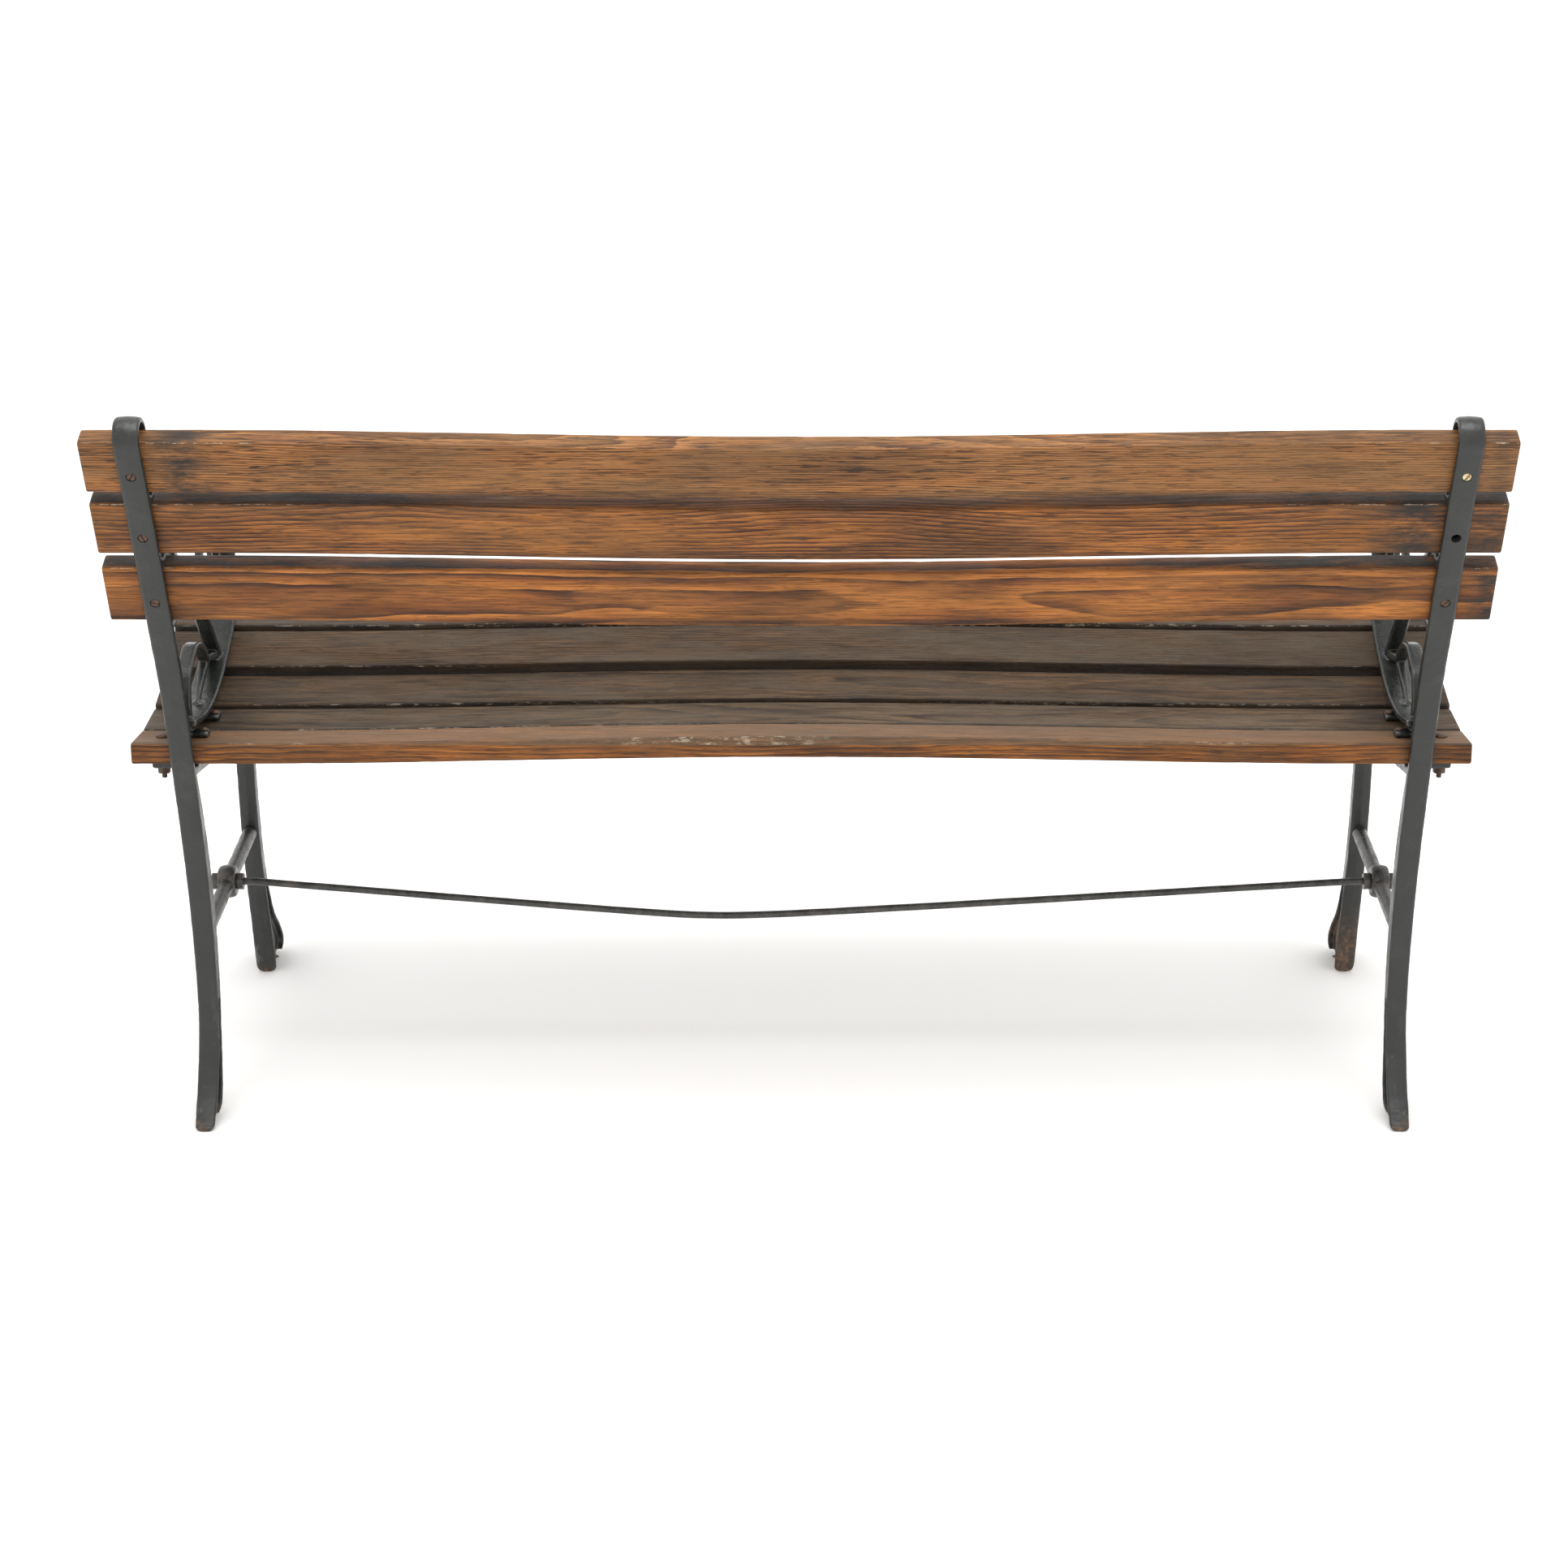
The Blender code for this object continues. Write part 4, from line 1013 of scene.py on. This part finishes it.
def spacer_lug(upper, lower):
    """Small stop on the strap's front that keeps two back slats apart."""
    high, high_up, _ = strap_place(upper)
    low, low_up, out = strap_place(lower)
    top_edge = low + low_up * (lower[4] / 2)
    bottom_edge = high - high_up * (upper[4] / 2)
    place = (top_edge + bottom_edge) / 2 + out * (STRAP_THICK + 0.003)
    return block((LUG_LONG, 0.014, 0.009), side_matrix(place, low_up, -0.002), 0.0015)


def screw_seat(row):
    """Countersunk hole through the strap for one back screw."""
    place, up, out = strap_place(row)
    place = place - up * SCREW_DROP
    profile = [(0.0052, -0.002), (0.0051, 0.0012), (0.0030, 0.0038), (0.0029, 0.014)]
    return turned(profile, 32, side_matrix(place, out))


def end_frame_mesh():
    """Cast end: rear leg, back strap with hook, seat rail with lugs and front leg."""
    upright = loft(upright_rows(), radius=0.003, ridge=0.0009)
    upright = cut(upright, joined(foot_pockets(smooth_path(UPRIGHT, 4))))
    rail = loft(rail_and_leg_rows(), radius=0.0026, ridge=0.0012)
    rail = cut(rail, joined(foot_pockets(smooth_path(FRONT_LEG, 4))))
    parts = [upright, rail]
    parts += [seat_lug(row) for row in SEAT_SLATS]
    parts += [spacer_lug(upper, lower) for upper, lower in zip(BACK_SLATS, BACK_SLATS[1:])]
    body = cast(joined(parts), voxel=0.0014, rounds=3)
    return cut(body, joined([screw_seat(row) for row in BACK_SLATS]))


def arm_lug(row):
    """Foot of the arm that lies on a seat slat, with room for its screw."""
    top, out = seat_bolt_place(row)
    place = top + out * (GAP + ARM_FOOT_THICK / 2)
    return block((0.0195, 0.018, ARM_FOOT_THICK), side_matrix(place, out, -0.0130), 0.0030)


def arm_web(row):
    """Short upright web that joins the arm's rim to its foot."""
    top, out = seat_bolt_place(row)
    tall = 0.020
    place = top + out * (0.002 + tall / 2)
    return block((0.012, 0.014, tall), side_matrix(place, out), 0.002)


def arm_mesh():
    """Cast openwork arm: a broad rim with branching tracery inside it."""
    parts = [band(ARM_RIM, ARM_RIM_HALF_WIDTH, ARM_RIM_HALF_WIDTH, ARM_RIM_THICK)]
    parts += [band(points, start, end, TRACERY_THICK) for points, start, end in ARM_TRACERY]
    for row in SEAT_SLATS[:2]:
        parts.append(arm_web(row))
        parts.append(arm_lug(row))
    return cast(joined(parts), voxel=0.0013, rounds=3)


def stretcher_mesh():
    """Round side stretcher with a tenon at each end and a hub for the tie rod."""
    tenon_radius = 0.006
    tenon_depth = 0.006
    length = STRETCHER_FRONT - STRETCHER_REAR
    profile = [(tenon_radius, -tenon_depth), (tenon_radius, 0.0012), (STRETCHER_RADIUS, 0.0018)]
    profile += [(STRETCHER_RADIUS, length * k / 24) for k in range(1, 24)]
    profile += [(STRETCHER_RADIUS, length - 0.0018), (tenon_radius, length - 0.0012),
                (tenon_radius, length + tenon_depth)]
    forward_axis = axes_matrix(at(STRETCHER_REAR, STRETCHER_HEIGHT), Vector((1, 0, 0)),
                               Vector((0, -1, 0)))
    bar = turned(profile, 40, forward_axis)
    hub_profile = []
    hub_bulge = 0.0042
    turns = 12
    for k in range(turns + 1):
        place = HUB_HALF * sin(pi * (k / turns - 0.5))
        bulge = sqrt(max(0.0, 1 - (place / HUB_HALF) ** 2))
        hub_profile.append((HUB_RADIUS - hub_bulge + hub_bulge * bulge, place))
    hub_axis = axes_matrix(at(HUB_FORWARD, STRETCHER_HEIGHT), Vector((0, 0, 1)), Vector((1, 0, 0)))
    hub = turned(hub_profile, 56, hub_axis)
    return cast(joined([bar, hub]), voxel=0.0009, rounds=4)


def add_castings(worn):
    """The two cast ends, their arms and their side stretchers; left is at +X."""
    paint = painted_iron("painted_iron", edge_marks_and_painted_light_colour=(0.085, 0.084, 0.077), low_rough=0.26)
    # The arms' pale edge colour is painted highlight as well as wear.
    arm_paint = painted_iron("painted_iron_arm", edge_marks_and_painted_light_colour=(0.3, 0.295, 0.275), low_rough=0.16)
    sources = [
        ("end_frame", end_frame_mesh(), (paint, "iron_frame"), FRAME_X, True),
        ("arm", arm_mesh(), (arm_paint, "iron_frame"), FRAME_X, True),
        ("side_stretcher", stretcher_mesh(), worn, frame_x(STRETCHER_HEIGHT), False),
    ]
    for seed, (name, source, finish, x, leans) in enumerate(sources):
        left = shifted(source, x)
        if not leans:
            left = source.copy()
            left.transform(Matrix.Translation((x, 0, 0)))
        for side, mesh in (("left", left), ("right", mirrored(left))):
            roughen(mesh, amount=0.00028, size=0.011, seed=seed + 1)
            mark_wear(mesh)
            add_piece(f"cast_{name}_{side}", mesh, finish, f"{name}_{side}")


# ---- fixings

def dome(radius, rise, base):
    """Profile rows of a domed head from its rim to near its middle."""
    steps = 6
    rows = []
    for k in range(steps):
        angle = pi / 2 * k / steps
        rows.append((radius * cos(angle), base + rise * sin(angle)))
    return rows


def bolt_mesh():
    """Coach bolt with a domed head, whose underside is near z = 0."""
    length = SEAT_SLAT_THICK + LUG_THICK + NUT_HEIGHT + 0.006
    profile = [(BOLT_RADIUS * 0.6, -length), (BOLT_RADIUS * 0.9, 0.0006 - length)]
    pitch = 0.0011
    threads = 14
    for k in range(threads):
        start = 0.0012 - length + pitch * k
        profile += [(BOLT_RADIUS, start), (BOLT_RADIUS * 0.84, start + pitch / 2)]
    head_radius = 0.0073
    profile += [(BOLT_RADIUS, GAP), (0.007, GAP), (head_radius, 0.0006)]
    profile += dome(head_radius, rise=0.0028, base=0.0008)
    return turned(profile, 28)


def nut_mesh(flats, height, hole):
    """Hexagonal nut with chamfered corners and a round bore, its top face at z = 0."""
    radius = flats / sqrt(3)
    body = turned([(radius, -height), (radius, 0.0)], 6)
    body = modified(body, [("BEVEL", {"width": 0.0007, "segments": 3})])
    bore = turned([(hole, -2 * height), (hole, height)], 28)
    return cut(body, bore)


def screw_mesh(head_radius, head_height, shank_radius, length, sink):
    """Wood screw along its own Z: the head's outer face looks up, with a slot across it."""
    profile = [(shank_radius * 0.25, -length), (shank_radius, -length * 0.72),
               (shank_radius, -sink), (head_radius, 0.0)]
    profile += dome(head_radius, head_height, 0.0)[1:]
    body = turned(profile, 32)
    slot = block((head_radius * 3, 0.0013, 0.0020), Matrix.Translation((0, 0, head_height)))
    return cut(body, slot)


def add_fixing(node, mesh, finish, matrix):
    """Put a copy of a bolt, nut or screw in place."""
    add_piece("fixing_" + node, mesh.copy(), finish, node, matrix)


def add_seat_bolts(steel):
    """A coach bolt and its nut at each end of each seat slat."""
    bolt = bolt_mesh()
    nut = nut_mesh(NUT_FLATS, NUT_HEIGHT, BOLT_RADIUS + 0.0002)
    drop = SEAT_SLAT_THICK + LUG_THICK + 2 * GAP
    for number, row in enumerate(SEAT_SLATS, start=1):
        top, out = seat_bolt_place(row)
        for side, word in SIDES:
            x = side * (frame_x(row[2]) + BOLT_OUTBOARD)
            matrix = side_matrix(top, out, x)
            add_fixing(f"seat_bolt_{number}_{word}", bolt, steel, matrix)
            turn = Matrix.Rotation(0.4 * number * side, 4, "Z")
            lowered = matrix @ Matrix.Translation((0, 0, -drop)) @ turn
            add_fixing(f"seat_nut_{number}_{word}", nut, steel, lowered)


def add_back_screws(steel, brass):
    """Slotted screws through the strap into each back slat; one of the six has been lost."""
    screw = screw_mesh(head_radius=0.0046, head_height=0.0008, shank_radius=0.0023,
                       length=0.023, sink=0.0026)
    below_face = 0.0010
    for number, row in enumerate(BACK_SLATS):
        place, up, out = strap_place(row)
        head = place - up * SCREW_DROP + out * below_face
        for side, word in SIDES:
            if (row[0], word) == MISSING_SCREW:
                continue
            new = (row[0], word) == BRASS_SCREW
            turn = radians(60) if new else 0.9 * number + side
            matrix = side_matrix(head, -out, side * frame_x(row[2]), facing=-1)
            matrix = matrix @ Matrix.Rotation(turn, 4, "Z")
            node = row[0].replace("slat", "screw") + "_" + word
            add_fixing(node, screw, brass if new else steel, matrix)


def add_arm_screws(steel):
    """Round-headed screws that hold each arm's two feet down on the seat slats."""
    screw = screw_mesh(head_radius=0.0042, head_height=0.0026, shank_radius=0.0018,
                       length=0.017, sink=0.0)
    foot_top = GAP + ARM_FOOT_THICK + GAP
    for row, place_word in zip(SEAT_SLATS, ("rear", "front")):
        top, out = seat_bolt_place(row)
        place = top + out * foot_top
        for side, word in SIDES:
            x = side * (frame_x(row[2]) - ARM_INSET)
            add_fixing(f"arm_screw_{place_word}_{word}", screw, steel, side_matrix(place, out, x))


def rod_drop(x, inner):
    """How far the rod hangs below its hubs: two straight runs with a soft bend between."""
    if abs(x) >= inner:
        return 0.0
    reach = inner - ROD_LOW_X if x > ROD_LOW_X else inner + ROD_LOW_X
    part = abs(x - ROD_LOW_X) / reach
    rise = hypot(part, ROD_SOFTNESS) - ROD_SOFTNESS
    full_rise = hypot(1.0, ROD_SOFTNESS) - ROD_SOFTNESS
    return ROD_SAG * (1 - rise / full_rise)


def tie_rod_mesh():
    """Round rod from hub to hub that has bent down between them."""
    hub_x = frame_x(STRETCHER_HEIGHT)
    end = hub_x + HUB_HALF + ROD_NUT_HEIGHT + 0.009
    inner = hub_x - HUB_HALF - ROD_NUT_HEIGHT - ROD_STRAIGHT
    count = 260
    rings = []
    for i in range(count + 1):
        x = end * (2 * i / count - 1)
        drop = rod_drop(x, inner)
        to_end = min(i, count - i)
        radius = ROD_RADIUS * (0.7 if to_end == 0 else 1.0)
        ring = []
        for k in range(16):
            angle = 2 * pi * k / 16
            lump = 1 + 0.05 * noise.noise(Vector((x * 30, cos(angle), sin(angle))))
            ring.append(at(HUB_FORWARD + radius * lump * cos(angle),
                           STRETCHER_HEIGHT - drop + radius * lump * sin(angle), x))
        rings.append(ring)
    return tube(rings, "rod")


def add_tie_rod(worn):
    """The rod across the bench and the nut on each side of each hub."""
    add_piece("rod_tie_rod", tie_rod_mesh(), worn, "tie_rod")
    nut = nut_mesh(ROD_NUT_FLATS, ROD_NUT_HEIGHT, ROD_RADIUS + 0.0002)
    for side, word in SIDES:
        for way, place_word in ((1, "outer"), (-1, "inner")):
            x = side * (frame_x(STRETCHER_HEIGHT) + way * (HUB_HALF + GAP))
            matrix = axes_matrix(at(HUB_FORWARD, STRETCHER_HEIGHT, x), Vector((0, 0, 1)),
                                 Vector((-side * way, 0, 0)))
            node = f"tie_rod_nut_{place_word}_{word}"
            add_piece("rod_" + node, nut.copy(), worn, node, matrix)


# ---- studio

def add_floor():
    """Wide plain floor that fills the picture."""
    half_size = 20.0
    bm = bmesh.new()
    bmesh.ops.create_grid(bm, x_segments=8, y_segments=8, size=half_size)
    floor = add_object("studio_floor", mesh_from(bm, "studio_floor"))
    floor.data.materials.append(floor_paper())


def add_overhead_light():
    """Wide soft light over the rear of the bench, turned to its middle."""
    light = bpy.data.lights.new("overhead", "AREA")
    light.shape = "RECTANGLE"
    light.size = 3.0
    light.size_y = 1.6
    light.energy = 70.0
    place = Vector((0.0, 0.6, 3.6))
    aim = Vector((0.0, 0.0, 0.4))
    add_object("overhead", light, place, (aim - place).to_track_quat("-Z", "Y").to_euler())


def add_studio():
    """White surroundings, the overhead light, the floor and the camera behind the bench."""
    world = bpy.data.worlds.new("studio_world")
    world.use_nodes = True
    background = world.node_tree.nodes["Background"]
    background.inputs["Color"].default_value = (1.0, 0.995, 0.985, 1.0)
    background.inputs["Strength"].default_value = 1.3
    bpy.context.scene.world = world
    add_overhead_light()
    add_floor()
    camera_data = bpy.data.cameras.new("camera")
    camera_data.lens = 70.81
    camera_data.shift_x = -0.0313
    bpy.context.scene.camera = add_object("camera", camera_data, (-0.0335, 3.1614, 1.6288),
                                          (radians(67.6), 0.0, pi))
    bpy.context.scene.view_settings.view_transform = "Standard"


def main():
    """Build the bench's visible pieces and its studio."""
    add_studio()
    add_boards(wood_looks())
    worn = (worn_iron(), "iron_worn")
    add_castings(worn)
    steel = (rusty_steel(), "bolt_steel")
    add_seat_bolts(steel)
    add_back_screws(steel, (bright_brass(), "brass"))
    add_arm_screws(steel)
    add_tie_rod(worn)


main()
